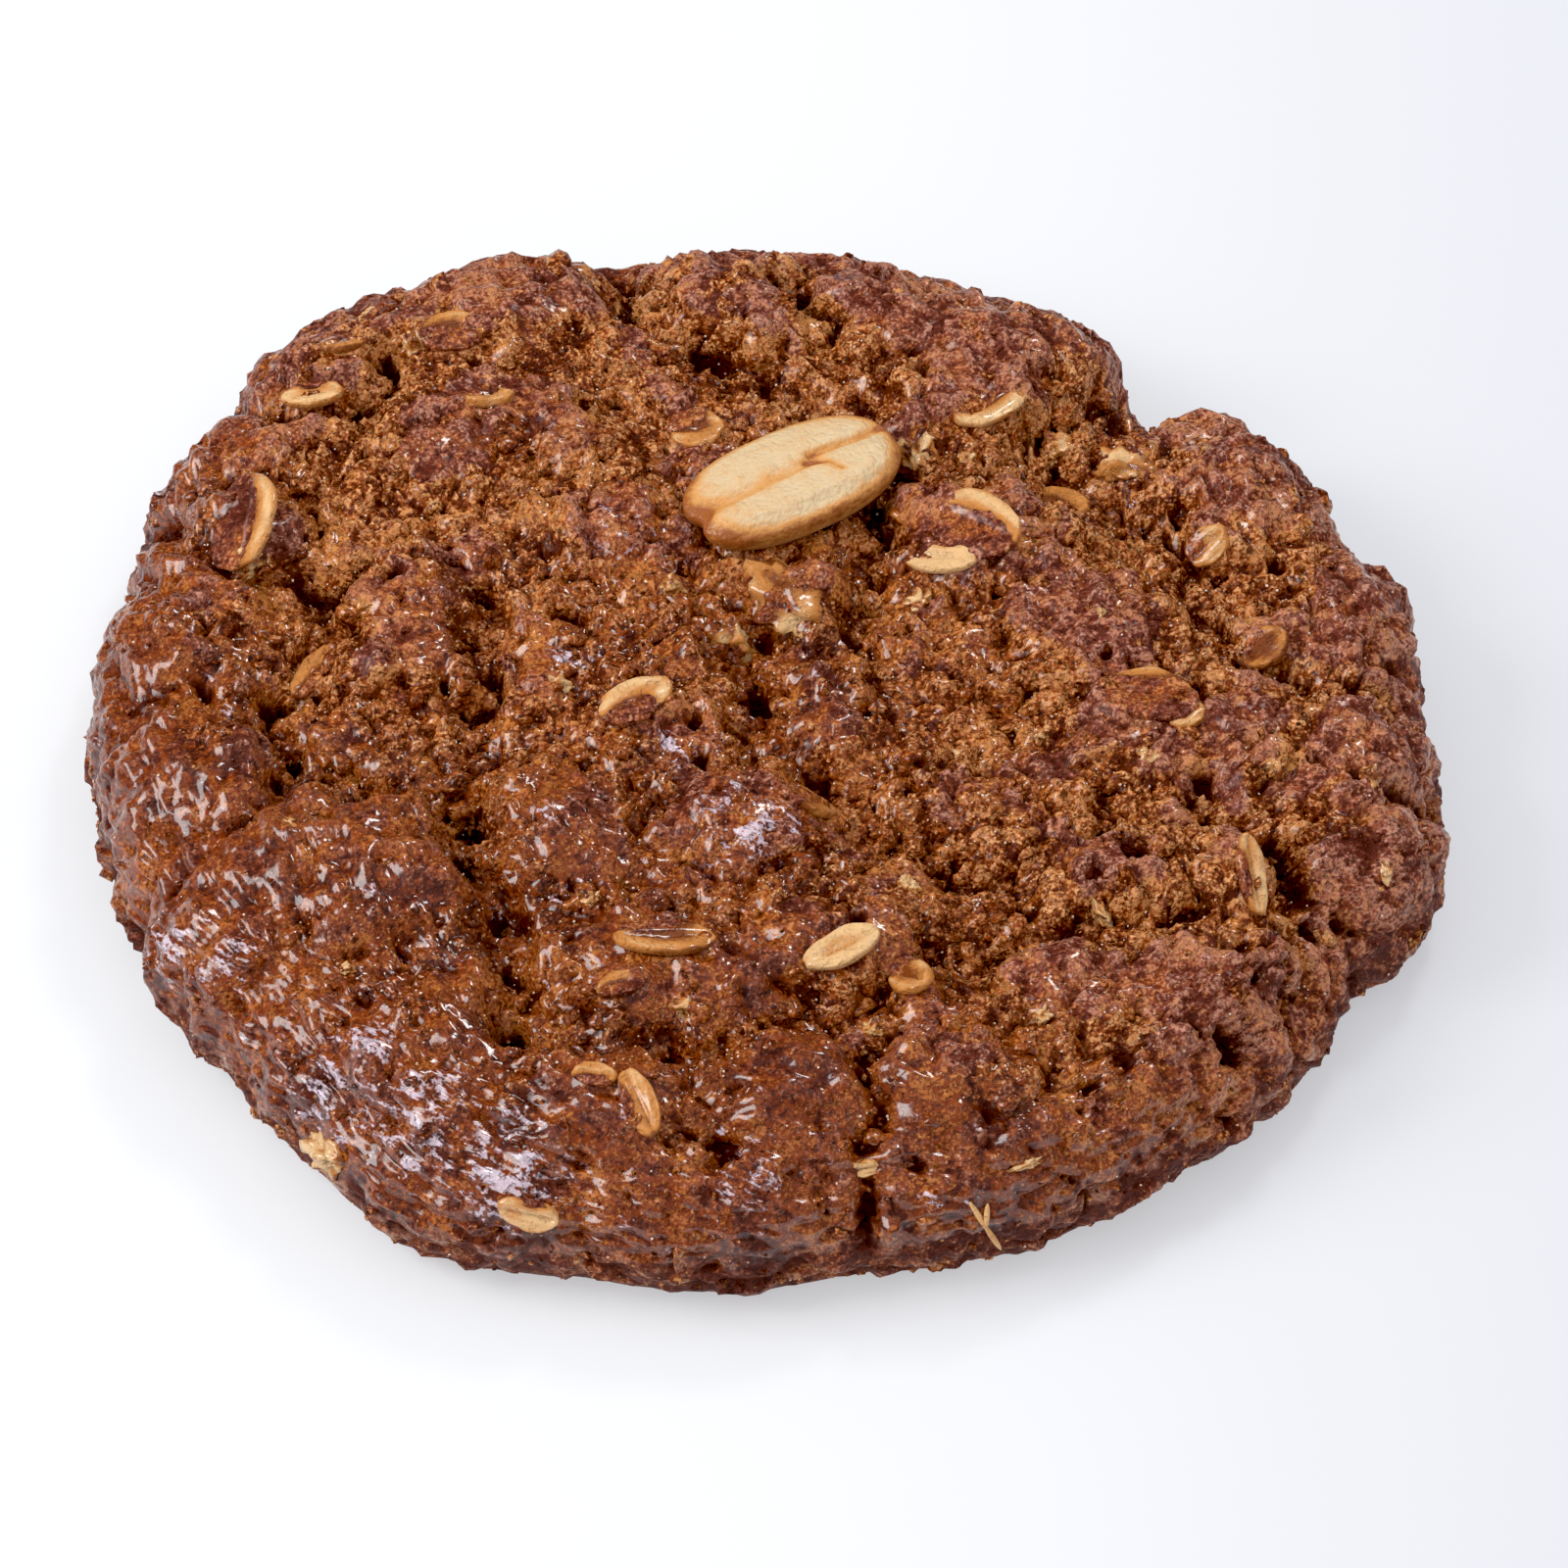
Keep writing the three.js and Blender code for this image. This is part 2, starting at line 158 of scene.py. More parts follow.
class Graph:
    """Adds and joins the nodes of one material or node group."""

    def __init__(self, tree: bpy.types.NodeTree) -> None:
        """Keeps the tree that the nodes go in."""
        self.tree = tree

    def add(self, kind: str, values: dict | None = None, **settings: object) -> bpy.types.Node:
        """Adds a node.

        Args:
            kind: The node's Blender type.
            values: What each named input takes: a socket, a number or a colour.
            **settings: The node's own properties.

        Returns:
            The new node.
        """
        node = self.tree.nodes.new(kind)
        for name, setting in settings.items():
            setattr(node, name, setting)
        for name, value in (values or {}).items():
            self.feed(node.inputs[name], value)
        return node

    def feed(self, socket: Socket, value: object) -> None:
        """Links a socket to an input, or sets the input's own value."""
        if isinstance(value, Socket):
            self.tree.links.new(value, socket)
        else:
            socket.default_value = value

    def scaled(self, where: Socket, factor: object) -> Socket:
        """Coordinates multiplied by a factor."""
        return self.add("ShaderNodeVectorMath", {0: where, "Scale": factor}, operation="SCALE").outputs[0]

    def place(self) -> Socket:
        """Object coordinates in millimetres."""
        return self.scaled(self.add("ShaderNodeTexCoord").outputs["Object"], 1 / MM)

    def attribute(self, name: str) -> Socket:
        """A mask that the mesh carries."""
        return self.add("ShaderNodeAttribute", attribute_name=name).outputs["Fac"]

    def noise(self, where: Socket, size: float, detail: float = 2) -> Socket:
        """Smooth noise from 0 to 1 with swells of about that size in millimetres."""
        values = {"Vector": where, "Scale": 1 / size, "Detail": detail}
        return self.add("ShaderNodeTexNoise", values).outputs[0]

    def drawn_out(self, where: Socket, turn: float, length: float) -> Socket:
        """Coordinates that stretch a pattern along one direction, in degrees, by a factor."""
        turned = {"Vector": where, "Rotation": (0, 0, math.radians(-turn))}
        along = self.add("ShaderNodeMapping", turned).outputs[0]
        return self.add("ShaderNodeMapping", {"Vector": along, "Scale": (1 / length, 1, 1)}).outputs[0]

    def cells(self, where: Socket, size: float) -> bpy.types.Node:
        """Scattered cells of about that size in millimetres."""
        return self.add("ShaderNodeTexVoronoi", {"Vector": where, "Scale": 1 / size})

    def span(self, value: Socket, low: float, high: float, start: float = 0, end: float = 1) -> Socket:
        """Goes smoothly from start to end as the value goes from low to high."""
        values = {"Value": value, "From Min": low, "From Max": high, "To Min": start, "To Max": end}
        return self.add("ShaderNodeMapRange", values, interpolation_type="SMOOTHSTEP").outputs[0]

    def ramp(self, value: Socket, stops: Sequence[tuple[float, Colour]]) -> Socket:
        """A colour that runs through stops, each a share and its colour."""
        node = self.add("ShaderNodeValToRGB", {0: value})
        elements = node.color_ramp.elements
        while len(elements) < len(stops):
            elements.new(0.5)
        for element, (share, colour) in zip(elements, stops):
            element.position = share
            element.color = colour
        return node.outputs[0]

    def math(self, operation: str, first: object, second: object = 0.0) -> Socket:
        """One operation on two numbers."""
        return self.add("ShaderNodeMath", {0: first, 1: second}, operation=operation).outputs[0]

    def product(self, *factors: object) -> Socket:
        """The product of numbers."""
        result = factors[0]
        for factor in factors[1:]:
            result = self.math("MULTIPLY", result, factor)
        return result

    def total(self, *terms: tuple[object, float]) -> Socket:
        """The sum of values, each with its own weight."""
        result = None
        for value, weight in terms:
            part = self.math("MULTIPLY", value, weight)
            result = part if result is None else self.math("ADD", result, part)
        return result

    def mix(self, share: object, first: object, second: object, blend: str = "MIX") -> Socket:
        """A colour between two, by a share of the second."""
        node = self.add("ShaderNodeMix", data_type="RGBA", blend_type=blend)
        for index, value in ((0, share), (6, first), (7, second)):
            self.feed(node.inputs[index], value)
        return node.outputs[2]

    def blend(self, share: object, first: object, second: object) -> Socket:
        """A number between two, by a share of the second."""
        node = self.add("ShaderNodeMix", data_type="FLOAT")
        for index, value in ((0, share), (2, first), (3, second)):
            self.feed(node.inputs[index], value)
        return node.outputs[0]

    def bump(self, shader: bpy.types.Node, height: Socket, strength: float, distance: float) -> None:
        """Feeds a height to a shader as bump, its distance in millimetres."""
        values = {"Height": height, "Strength": strength, "Distance": distance * MM}
        self.feed(shader.inputs["Normal"], self.add("ShaderNodeBump", values).outputs[0])


class SharedEffects:
    """The node groups that are used more than once."""

    # Width of a speck as a share of the mottle's
    speck_share: ClassVar[float] = 0.42

    def __init__(self) -> None:
        """Builds both groups."""
        self.grain = self.build_grain()
        self.spots = self.build_spots()

    @staticmethod
    def start(
        name: str, inputs: dict[str, str], outputs: Sequence[str]
    ) -> tuple[Graph, dict[str, Socket], bpy.types.Node]:
        """Starts a group.

        Args:
            name: The group's name.
            inputs: Name and socket type of each input.
            outputs: Names of the number outputs.

        Returns:
            The group's graph, its input sockets by name, and its output node.
        """
        tree = bpy.data.node_groups.new(name, "ShaderNodeTree")
        for label, kind in inputs.items():
            tree.interface.new_socket(label, in_out="INPUT", socket_type=kind)
        for label in outputs:
            tree.interface.new_socket(label, in_out="OUTPUT", socket_type="NodeSocketFloat")
        graph = Graph(tree)
        given = graph.add("NodeGroupInput").outputs
        return graph, {label: given[label] for label in inputs}, graph.add("NodeGroupOutput")

    def build_grain(self) -> bpy.types.NodeTree:
        """Baked grain: a mottle as wide as Size and a finer speck.

        Returns:
            The node group, with Position in millimetres and Size as the width of the mottle.
        """
        inputs = {"Position": "NodeSocketVector", "Size": "NodeSocketFloat"}
        graph, given, out = self.start("baked_grain", inputs, ("Mottle", "Speck"))
        where = graph.scaled(given["Position"], graph.math("DIVIDE", 1.0, given["Size"]))
        graph.feed(out.inputs["Mottle"], graph.noise(where, 1, 1))
        graph.feed(out.inputs["Speck"], graph.noise(where, self.speck_share, 1))
        return graph.tree

    def build_spots(self) -> bpy.types.NodeTree:
        """Small uneven spots, as pores and grains are.

        Returns:
            The node group, with Position in millimetres, Spacing between spots, Share of cells that have
            one, and Edge as a number from 0 to 1 that makes their edges uneven.
        """
        inputs = {
            "Position": "NodeSocketVector", "Spacing": "NodeSocketFloat", "Share": "NodeSocketFloat",
            "Edge": "NodeSocketFloat",
        }
        graph, given, out = self.start("scattered_spots", inputs, ("Spot",))
        cells = graph.cells(graph.scaled(given["Position"], graph.math("DIVIDE", 1.0, given["Spacing"])), 1)
        chance = graph.add("ShaderNodeSeparateColor", {0: cells.outputs["Color"]}).outputs[0]
        radius = graph.product(graph.math("SUBTRACT", given["Share"], chance), 0.6)
        uneven = graph.span(given["Edge"], 0.25, 0.75, -0.22, 0.22)
        depth = graph.total((radius, 1.0), (cells.outputs["Distance"], -1.0), (uneven, 1.0))
        graph.feed(out.inputs["Spot"], graph.product(graph.span(depth, 0, 0.16), graph.span(radius, 0, 0.06)))
        return graph.tree

    def use_grain(self, graph: Graph, where: Socket, size: float) -> bpy.types.bpy_prop_collection:
        """Places the grain in a material and returns its outputs."""
        node = graph.add("ShaderNodeGroup", node_tree=self.grain)
        graph.feed(node.inputs["Position"], where)
        graph.feed(node.inputs["Size"], size)
        return node.outputs

    def use_spots(self, graph: Graph, where: Socket, spacing: float, share: object, edge: Socket) -> Socket:
        """Places the spots in a material and returns their mask."""
        node = graph.add("ShaderNodeGroup", node_tree=self.spots)
        for label, value in (("Position", where), ("Spacing", spacing), ("Share", share), ("Edge", edge)):
            graph.feed(node.inputs[label], value)
        return node.outputs["Spot"]


def start_material(name: str) -> tuple[bpy.types.Material, Graph, bpy.types.Node]:
    """Starts a node material.

    Args:
        name: The material's name.

    Returns:
        The material, its graph and its Principled shader.
    """
    material = bpy.data.materials.new(name)
    material.use_nodes = True
    return material, Graph(material.node_tree), material.node_tree.nodes["Principled BSDF"]


@dataclass(frozen=True)
class CrustFinish:
    """Dark baked dough: mauve skin, torn orange crumb, amber glaze, painted glare and shade, bare oat or nut.

    Each pair of numbers is where a mask starts and where it is full.
    """

    effects: SharedEffects
    # Tones from dark to light: how far along, then the colour
    skin: tuple = (
        (0.15, srgb(94, 40, 26)), (0.4, srgb(121, 64, 48)),
        (0.6, srgb(143, 87, 70)), (0.85, srgb(188, 135, 114)),
    )
    torn: tuple = (
        (0.15, srgb(86, 32, 6)), (0.4, srgb(130, 64, 26)),
        (0.6, srgb(168, 98, 52)), (0.85, srgb(224, 166, 112)),
    )
    amber: Colour = srgb(146, 67, 20)
    gold: Colour = srgb(198, 122, 54)
    # Multiplied in: browning where the glaze is thick, painted shade on the lower side
    browning_and_side_shade: Colour = srgb(222, 207, 192)
    # Painted shade: the dark colour laid in cavities and pores
    hollow_shade: Colour = srgb(64, 20, 6)
    # Painted highlight: the pale glare of the glaze
    painted_glare: Colour = srgb(222, 204, 216)
    grit: Colour = srgb(212, 152, 96)
    cream: Colour = srgb(219, 177, 126)
    toasted: Colour = srgb(193, 126, 64)
    scorched: Colour = srgb(122, 62, 26)
    skin_roughness: float = 0.5
    crumb_roughness: float = 0.4
    glaze_roughness: float = 0.25
    dry_coat: float = 0.12
    coat_roughness: float = 0.15
    coat_ior: float = 1.6
    specular: float = 0.1
    grain_size: float = 0.6
    pore_spacing: float = 0.8
    pore_cover: float = 0.75
    grit_spacing: float = 0.6
    grit_shift: tuple = (5.3, 2.9, 7.1)
    grit_cover: float = 0.6
    # The painted glare highlight is drawn out in streaks: width, length for each width, turn in degrees
    streaks: tuple = (0.4, 3.5, -37)
    glare_cover: float = 0.85
    ripple_size: float = 0.5
    bump_distance: float = 0.5
    opening: tuple = (1.0, 1.35)
    pooling: tuple = (0.82, 1.04)
    gilding: tuple = (1.05, 1.25)
    glare_span: tuple = (1.94, 2.32)
    wetting: tuple = (1.22, 1.65)
    attributes: ClassVar[tuple] = (
        "crumb", "cavity", "glaze", "bare", "broad", "patch", "dip", "tone_and_shade", "painted_glare", "toast",
    )

    def build(self) -> bpy.types.Material:
        """Builds the material from the masks that the dough and its pieces carry."""
        material, graph, shader = start_material("baked_crust")
        where = graph.place()
        masks = {name: graph.attribute(name) for name in self.attributes}
        grain = self.effects.use_grain(graph, where, self.grain_size)
        masks["mottle"] = grain["Mottle"]
        masks["speck"] = grain["Speck"]
        share = graph.span(masks["crumb"], 0, 1, 0.42, 0.62)
        pores = self.effects.use_spots(graph, where, self.pore_spacing, share, masks["mottle"])
        pores = graph.product(pores, graph.math("SUBTRACT", 1.0, masks["bare"]))
        edge = graph.total((masks["crumb"], 1.0), (masks["patch"], 0.9), (masks["mottle"], 0.6))
        open_dough = graph.span(edge, *self.opening)

        colour = self.bake(graph, masks, open_dough)
        colour = self.pour_glaze(graph, masks, colour)
        colour = self.sprinkle_grit(graph, masks, where, colour)
        colour = self.dress_bare(graph, masks, colour)
        colour = self.paint_glare(graph, masks, where, colour)
        # Painted shade in the cavities, where the skin lies below its surroundings
        colour = graph.mix(graph.span(masks["cavity"], 0.15, 0.85), colour, self.hollow_shade)
        # Painted shade of pinholes: dark spots where the mesh has no hole
        colour = graph.mix(graph.product(pores, self.pore_cover), colour, self.hollow_shade)
        graph.feed(shader.inputs["Base Color"], colour)
        self.polish(graph, masks, shader, pores, open_dough)
        self.roughen(graph, masks, shader, where)
        return material

    def bake(self, graph: Graph, masks: dict, open_dough: Socket) -> Socket:
        """Colours the plain dough: mauve skin, and orange crumb with golden patches where it is torn."""
        tone_and_shade = graph.total(
            (masks["broad"], 0.13), (masks["patch"], 0.22), (masks["mottle"], 0.30), (masks["speck"], 0.35)
        )
        tone_and_shade = graph.span(tone_and_shade, 0.36, 0.64)
        # Painted shade and light: darker in small dips and, through the tone mask, on the lower side; lighter
        # on crests
        tone_and_shade = graph.total((tone_and_shade, 1.0), (masks["dip"], -0.3), (masks["tone_and_shade"], 0.3))
        colour = graph.mix(open_dough, graph.ramp(tone_and_shade, self.skin), graph.ramp(tone_and_shade, self.torn))
        gilded = graph.span(graph.total((masks["patch"], 0.8), (masks["mottle"], 0.5)), 0.7, 0.9)
        return graph.mix(graph.product(gilded, open_dough, 0.4), colour, self.gold)

    def pour_glaze(self, graph: Graph, masks: dict, colour: Socket) -> Socket:
        """Lays amber and gold syrup over a colour, browns thick glaze and paints shade low on the side."""
        pooled = graph.total(
            (masks["patch"], 0.8), (masks["broad"], 0.3), (masks["mottle"], 0.7), (masks["glaze"], 0.12)
        )
        syrup = graph.span(masks["glaze"], 0.0, 0.5, 0.4, 0.9)
        syrup = graph.product(syrup, graph.span(pooled, *self.pooling))
        gilt = graph.total((pooled, 0.7), (masks["speck"], 0.8), (masks["glaze"], -0.1))
        tint = graph.mix(graph.span(gilt, *self.gilding), self.amber, self.gold)
        colour = graph.mix(syrup, colour, tint)
        # Browning where the glaze is thick, and painted shade on the lower side of the dough
        browned = graph.total((masks["glaze"], 1.0), (masks["tone_and_shade"], -0.5))
        return graph.mix(graph.span(browned, 0.3, 0.9), colour, self.browning_and_side_shade, "MULTIPLY")

    def sprinkle_grit(self, graph: Graph, masks: dict, where: Socket, colour: Socket) -> Socket:
        """Sets pale grains of crumb in a colour, most where the dough is torn."""
        shifted = graph.add("ShaderNodeVectorMath", {0: where, 1: self.grit_shift}, operation="ADD")
        share = graph.span(masks["crumb"], 0, 1, 0.38, 0.52)
        grit = self.effects.use_spots(graph, shifted.outputs[0], self.grit_spacing, share, masks["speck"])
        return graph.mix(graph.product(grit, self.grit_cover), colour, self.grit)

    def dress_bare(self, graph: Graph, masks: dict, colour: Socket) -> Socket:
        """Lays oat or nut over a colour where a piece is bare: cream, or toasted where its mask says so."""
        toast = graph.total((masks["toast"], 1.0), (masks["patch"], 0.6), (masks["speck"], 0.4))
        flesh = graph.mix(graph.span(toast, 0.45, 1.05), self.cream, self.toasted)
        flesh = graph.mix(graph.span(toast, 1.05, 1.6), flesh, self.scorched)
        cover = graph.total((masks["bare"], 1.0), (masks["patch"], 0.8), (masks["mottle"], 0.6))
        return graph.mix(graph.span(cover, 1.0, 1.25), colour, flesh)

    def paint_glare(self, graph: Graph, masks: dict, where: Socket, colour: Socket) -> Socket:
        """Lays a painted glare highlight over a colour in drawn-out streaks."""
        width, length, turn = self.streaks
        streak = graph.noise(graph.drawn_out(where, turn, length), width, 2)
        glare = graph.total((masks["painted_glare"], 1.0), (streak, 2.2), (masks["speck"], 0.7))
        cover = graph.span(glare, *self.glare_span, 0, self.glare_cover)
        cover = graph.product(cover, graph.span(masks["painted_glare"], 0.1, 0.35))
        return graph.mix(cover, colour, self.painted_glare)

    def polish(
        self, graph: Graph, masks: dict, shader: bpy.types.Node, pores: Socket, open_dough: Socket
    ) -> None:
        """Sets the gloss: a clear coat where the glaze is wet, little on dry dough and none in holes."""
        wet = graph.total((masks["glaze"], 1.0), (masks["patch"], 1.5), (masks["mottle"], 0.6))
        wet = graph.span(wet, *self.wetting)
        roughness = graph.blend(open_dough, self.skin_roughness, self.crumb_roughness)
        graph.feed(shader.inputs["Roughness"], graph.blend(wet, roughness, self.glaze_roughness))
        no_pore = graph.math("SUBTRACT", 1.0, pores)
        out_of_holes = graph.product(no_pore, graph.span(masks["cavity"], 0.1, 0.6, 1, 0))
        coat = graph.product(graph.blend(wet, self.dry_coat, 1.0), out_of_holes)
        graph.feed(shader.inputs["Coat Weight"], coat)
        shader.inputs["Coat Roughness"].default_value = self.coat_roughness
        shader.inputs["Coat IOR"].default_value = self.coat_ior
        shader.inputs["Specular IOR Level"].default_value = self.specular

    def roughen(self, graph: Graph, masks: dict, shader: bpy.types.Node, where: Socket) -> None:
        """Gives the shader its finest relief, weaker on bare flesh."""
        ripple = graph.noise(where, self.ripple_size, 2)
        ridge = graph.math("ABSOLUTE", graph.math("SUBTRACT", ripple, 0.5))
        strength = graph.span(masks["bare"], 0.2, 0.8, 1, 0.4)
        height = graph.product(graph.total((ripple, 1.2), (ridge, -1.6)), strength)
        graph.bump(shader, height, 1.0, self.bump_distance)


@dataclass(frozen=True)
class SugarFinish:
    """Sugar grains that catch the light, some clear and some the colour of syrup."""

    syrup: Colour = srgb(190, 128, 78)
    clear: Colour = srgb(232, 204, 184)
    tint_size: float = 1.5
    roughness: float = 0.12

    def build(self) -> bpy.types.Material:
        """Builds the material, its tint broken up from grain to grain."""
        material, graph, shader = start_material("sugar_grain")
        tint = graph.span(graph.noise(graph.place(), self.tint_size, 1), 0.36, 0.62)
        graph.feed(shader.inputs["Base Color"], graph.mix(tint, self.syrup, self.clear))
        shader.inputs["Roughness"].default_value = self.roughness
        return material


@dataclass(frozen=True)
class PeanutFinish:
    """A roasted, blanched half kernel: cream on its face, golden brown at its edges and in its grooves."""

    effects: SharedEffects
    cream: Colour = srgb(213, 186, 145)
    golden: Colour = srgb(212, 151, 82)
    brown: Colour = srgb(158, 88, 36)
    grain_size: float = 0.35
    mottle_size: float = 1.3
    bump_strength: float = 0.8
    bump_distance: float = 0.35
    glow_share: float = 0.2
    glow_radius: tuple = (1.0, 0.65, 0.35)
    glow_depth: float = 0.8

    def build(self) -> bpy.types.Material:
        """Builds the material from the toast mask that the kernel carries."""
        material, graph, shader = start_material("roasted_peanut")
        where = graph.place()
        grain = self.effects.use_grain(graph, where, self.grain_size)
        mottle = graph.noise(where, self.mottle_size, 3)
        toast = graph.total((graph.attribute("toast"), 1.0), (mottle, 0.9), (grain["Mottle"], 0.4))
        colour = graph.mix(graph.span(toast, 0.42, 1.2), self.cream, self.golden)
        colour = graph.mix(graph.span(toast, 1.1, 1.75), colour, self.brown)
        graph.feed(shader.inputs["Base Color"], colour)
        graph.feed(shader.inputs["Roughness"], graph.span(mottle, 0.35, 0.65, 0.36, 0.5))
        shader.inputs["Subsurface Weight"].default_value = self.glow_share
        shader.inputs["Subsurface Radius"].default_value = self.glow_radius
        shader.inputs["Subsurface Scale"].default_value = self.glow_depth * MM
        height = graph.total((grain["Mottle"], 0.5), (mottle, 1.0))
        graph.bump(shader, height, self.bump_strength, self.bump_distance)
        return material


def edit_mode(active: bpy.types.Object) -> None:
    """Selects one object alone and opens it in edit mode with all of it selected."""
    bpy.ops.object.select_all(action="DESELECT")
    active.select_set(True)
    bpy.context.view_layer.objects.active = active
    bpy.ops.object.mode_set(mode="EDIT")
    bpy.ops.mesh.select_all(action="SELECT")


def ball_of(subdivisions: int, radius: float) -> bpy.types.Object:
    """Adds an icosphere, selected alone."""
    bpy.ops.object.select_all(action="DESELECT")
    bpy.ops.mesh.primitive_ico_sphere_add(subdivisions=subdivisions, radius=radius)
    return bpy.context.object


def points_of(obj: bpy.types.Object) -> np.ndarray:
    """An object's vertices as rows of three numbers."""
    flat = np.empty(len(obj.data.vertices) * 3)
    obj.data.vertices.foreach_get("co", flat)
    return flat.reshape(-1, 3)


def write_points(obj: bpy.types.Object, points: np.ndarray) -> None:
    """Moves an object's vertices to places given in millimetres."""
    obj.data.vertices.foreach_set("co", (points * MM).ravel())
    obj.data.update()


def write_mask(obj: bpy.types.Object, name: str, values: np.ndarray) -> None:
    """Stores one number a vertex for a material to read."""
    layer = obj.data.attributes.new(name, "FLOAT", "POINT")
    layer.data.foreach_set("value", np.asarray(values, np.float32))


def write_patches(obj: bpy.types.Object, points: np.ndarray) -> None:
    """Stores the slow changes of the crust's colour, which run on from piece to piece, from 0 to 1."""
    write_mask(obj, "broad", 0.5 + 0.5 * noise_at(points, 6.5, 70))
    write_mask(obj, "patch", 0.5 + 0.32 * noise_at(points, 2.4, 71) + 0.22 * noise_at(points, 1.1, 72))


def edges_of(obj: bpy.types.Object) -> np.ndarray:
    """The two ends of every edge."""
    ends = np.empty(len(obj.data.edges) * 2, int)
    obj.data.edges.foreach_get("vertices", ends)
    return ends.reshape(-1, 2)


def finish_piece(obj: bpy.types.Object, name: str, material: bpy.types.Material) -> None:
    """Names a piece, gives it its material and smooth faces, and puts it on the cookie's body.

    Args:
        obj: The finished mesh.
        name: The piece's name.
        material: The piece's material.
    """
    obj.name = name
    obj.data.name = name
    obj.data.materials.clear()
    obj.data.materials.append(material)
    obj.data.polygons.foreach_set("use_smooth", np.ones(len(obj.data.polygons), bool))
    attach(obj, BODY)
    log.info("%s: %d faces", name, len(obj.data.polygons))


@dataclass
class Section:
    """The dough's half section and uneven round outline, without its lumps."""

    rim_radius: float = 48.9
    widest_height: float = 5.2
    shoulder_height: float = 13.2
    middle_height: float = 13.4
    shoulder_width: float = 13
    shoulder_sharpness: float = 2.3
    foot_width: float = 4.5
    fade_height: float = 4
    steps: int = 960
    base_share: float = 0.1
    # Swells and dents of the outline: middle in degrees, half-width in degrees, rise
    swells: tuple = (
        (128, 21, 6.4), (152, 7, 1.5), (142, 2.6, -1.3), (88, 12, 1.7), (48, 5.5, -5.2), (26, 7, -1.4),
        (12, 4, 0.8), (-14, 7, 2.2), (-27, 4.5, -2.2), (-81, 7, -1), (-97, 5, 0.7), (-118, 10, 2.6),
        (-150, 12, -0.9), (174, 12, 1),
    )

    def edge_radius(self, angle: np.ndarray) -> np.ndarray:
        """Distance from the axis to the edge, in directions given in radians."""
        radius = np.full(angle.shape, self.rim_radius)
        for middle, spread, rise in self.swells:
            away = np.mod(angle - math.radians(middle) + math.pi, 2 * math.pi) - math.pi
            radius += rise * np.exp(-((away / math.radians(spread)) ** 2))
        return radius

    def top_height(self, r: np.ndarray) -> np.ndarray:
        """Height of the plain top at a distance from the axis, for an edge at rim_radius."""
        inner = self.rim_radius - self.shoulder_width
        dome = self.middle_height + (self.shoulder_height - self.middle_height) * (r / inner) ** 2
        share = np.clip((self.rim_radius - r) / self.shoulder_width, 0, 1)
        turned = (1 - (1 - share) ** self.shoulder_sharpness) ** (1 / self.shoulder_sharpness)
        side = self.widest_height + (self.shoulder_height - self.widest_height) * turned
        return np.where(r <= inner, dome, side)

    def outline(self) -> np.ndarray:
        """The half section, from the middle of the top round the edge to the middle of the base."""
        along = self.rim_radius * np.sin(np.linspace(0, math.pi / 2, self.steps + 1))
        top = np.stack([along, self.top_height(along)], 1)
        turn = np.linspace(0, math.pi / 2, self.steps // 4 + 1)[1:]
        lower = np.stack([
            self.rim_radius - self.foot_width * (1 - np.cos(turn)), self.widest_height * (1 - np.sin(turn)),
        ], 1)
        foot = self.rim_radius - self.foot_width
        inward = foot * (1 - np.linspace(0, 1, self.steps // 4 + 1)[1:])
        base = np.stack([inward, np.zeros(len(inward))], 1)
        return np.concatenate([top, lower, base])

    def lay(self, sphere: np.ndarray) -> tuple[np.ndarray, np.ndarray]:
        """Lays the points of a unit sphere over the dough, each on its own share of the skin.

        Args:
            sphere: Points at a distance of 1 from the middle.

        Returns:
            The points on the plain dough and the outward directions there.
        """
        line = self.outline()
        step = np.diff(line, axis=0, prepend=line[:1])
        flat = (line[:, 1] == 0) & (np.roll(line[:, 1], 1) == 0)
        weight = np.where(flat, self.base_share, 1)
        mean_r = (line[:, 0] + np.roll(line[:, 0], 1)) / 2
        area = np.cumsum(weight * np.hypot(step[:, 0], step[:, 1]) * mean_r)
        slope = np.gradient(line, axis=0)
        slope /= np.linalg.norm(slope, axis=1)[:, None]
        share = (1 - np.clip(sphere[:, 2], -1, 1)) / 2 * area[-1]
        angle = np.arctan2(sphere[:, 1], sphere[:, 0])
        r = np.interp(share, area, line[:, 0]) * self.edge_radius(angle) / self.rim_radius
        z = np.interp(share, area, line[:, 1])
        out = np.interp(share, area, -slope[:, 1])
        up = np.interp(share, area, slope[:, 0])
        around = np.stack([np.cos(angle), np.sin(angle)], 1)
        points = np.column_stack([r[:, None] * around, z])
        normals = np.column_stack([out[:, None] * around, up])
        return points, normals / np.linalg.norm(normals, axis=1)[:, None]


def distance_to_path(x: np.ndarray, y: np.ndarray, path: Sequence) -> np.ndarray:
    """The distance from each plan point to a path of straight stretches."""
    nearest = np.full(x.shape, np.inf)
    for (ax, ay), (bx, by) in zip(path, path[1:]):
        length = (bx - ax) ** 2 + (by - ay) ** 2
        t = np.clip(((x - ax) * (bx - ax) + (y - ay) * (by - ay)) / length, 0, 1)
        nearest = np.minimum(nearest, np.hypot(x - ax - t * (bx - ax), y - ay - t * (by - ay)))
    return nearest


def turned_share(x: np.ndarray, y: np.ndarray, oval: Sequence[float]) -> np.ndarray:
    """How far each plan point is from an oval's middle, as the square of its share of the way to the rim.

    Args:
        x: Plan places.
        y: Plan places.
        oval: Middle x, middle y, half-length, half-width and turn in degrees.

    Returns:
        0 in the middle and 1 on the rim.
    """
    middle_x, middle_y, length, width, turn = oval
    c = math.cos(math.radians(turn))
    s = math.sin(math.radians(turn))
    u = ((x - middle_x) * c + (y - middle_y) * s) / length
    v = ((y - middle_y) * c - (x - middle_x) * s) / width
    return u * u + v * v


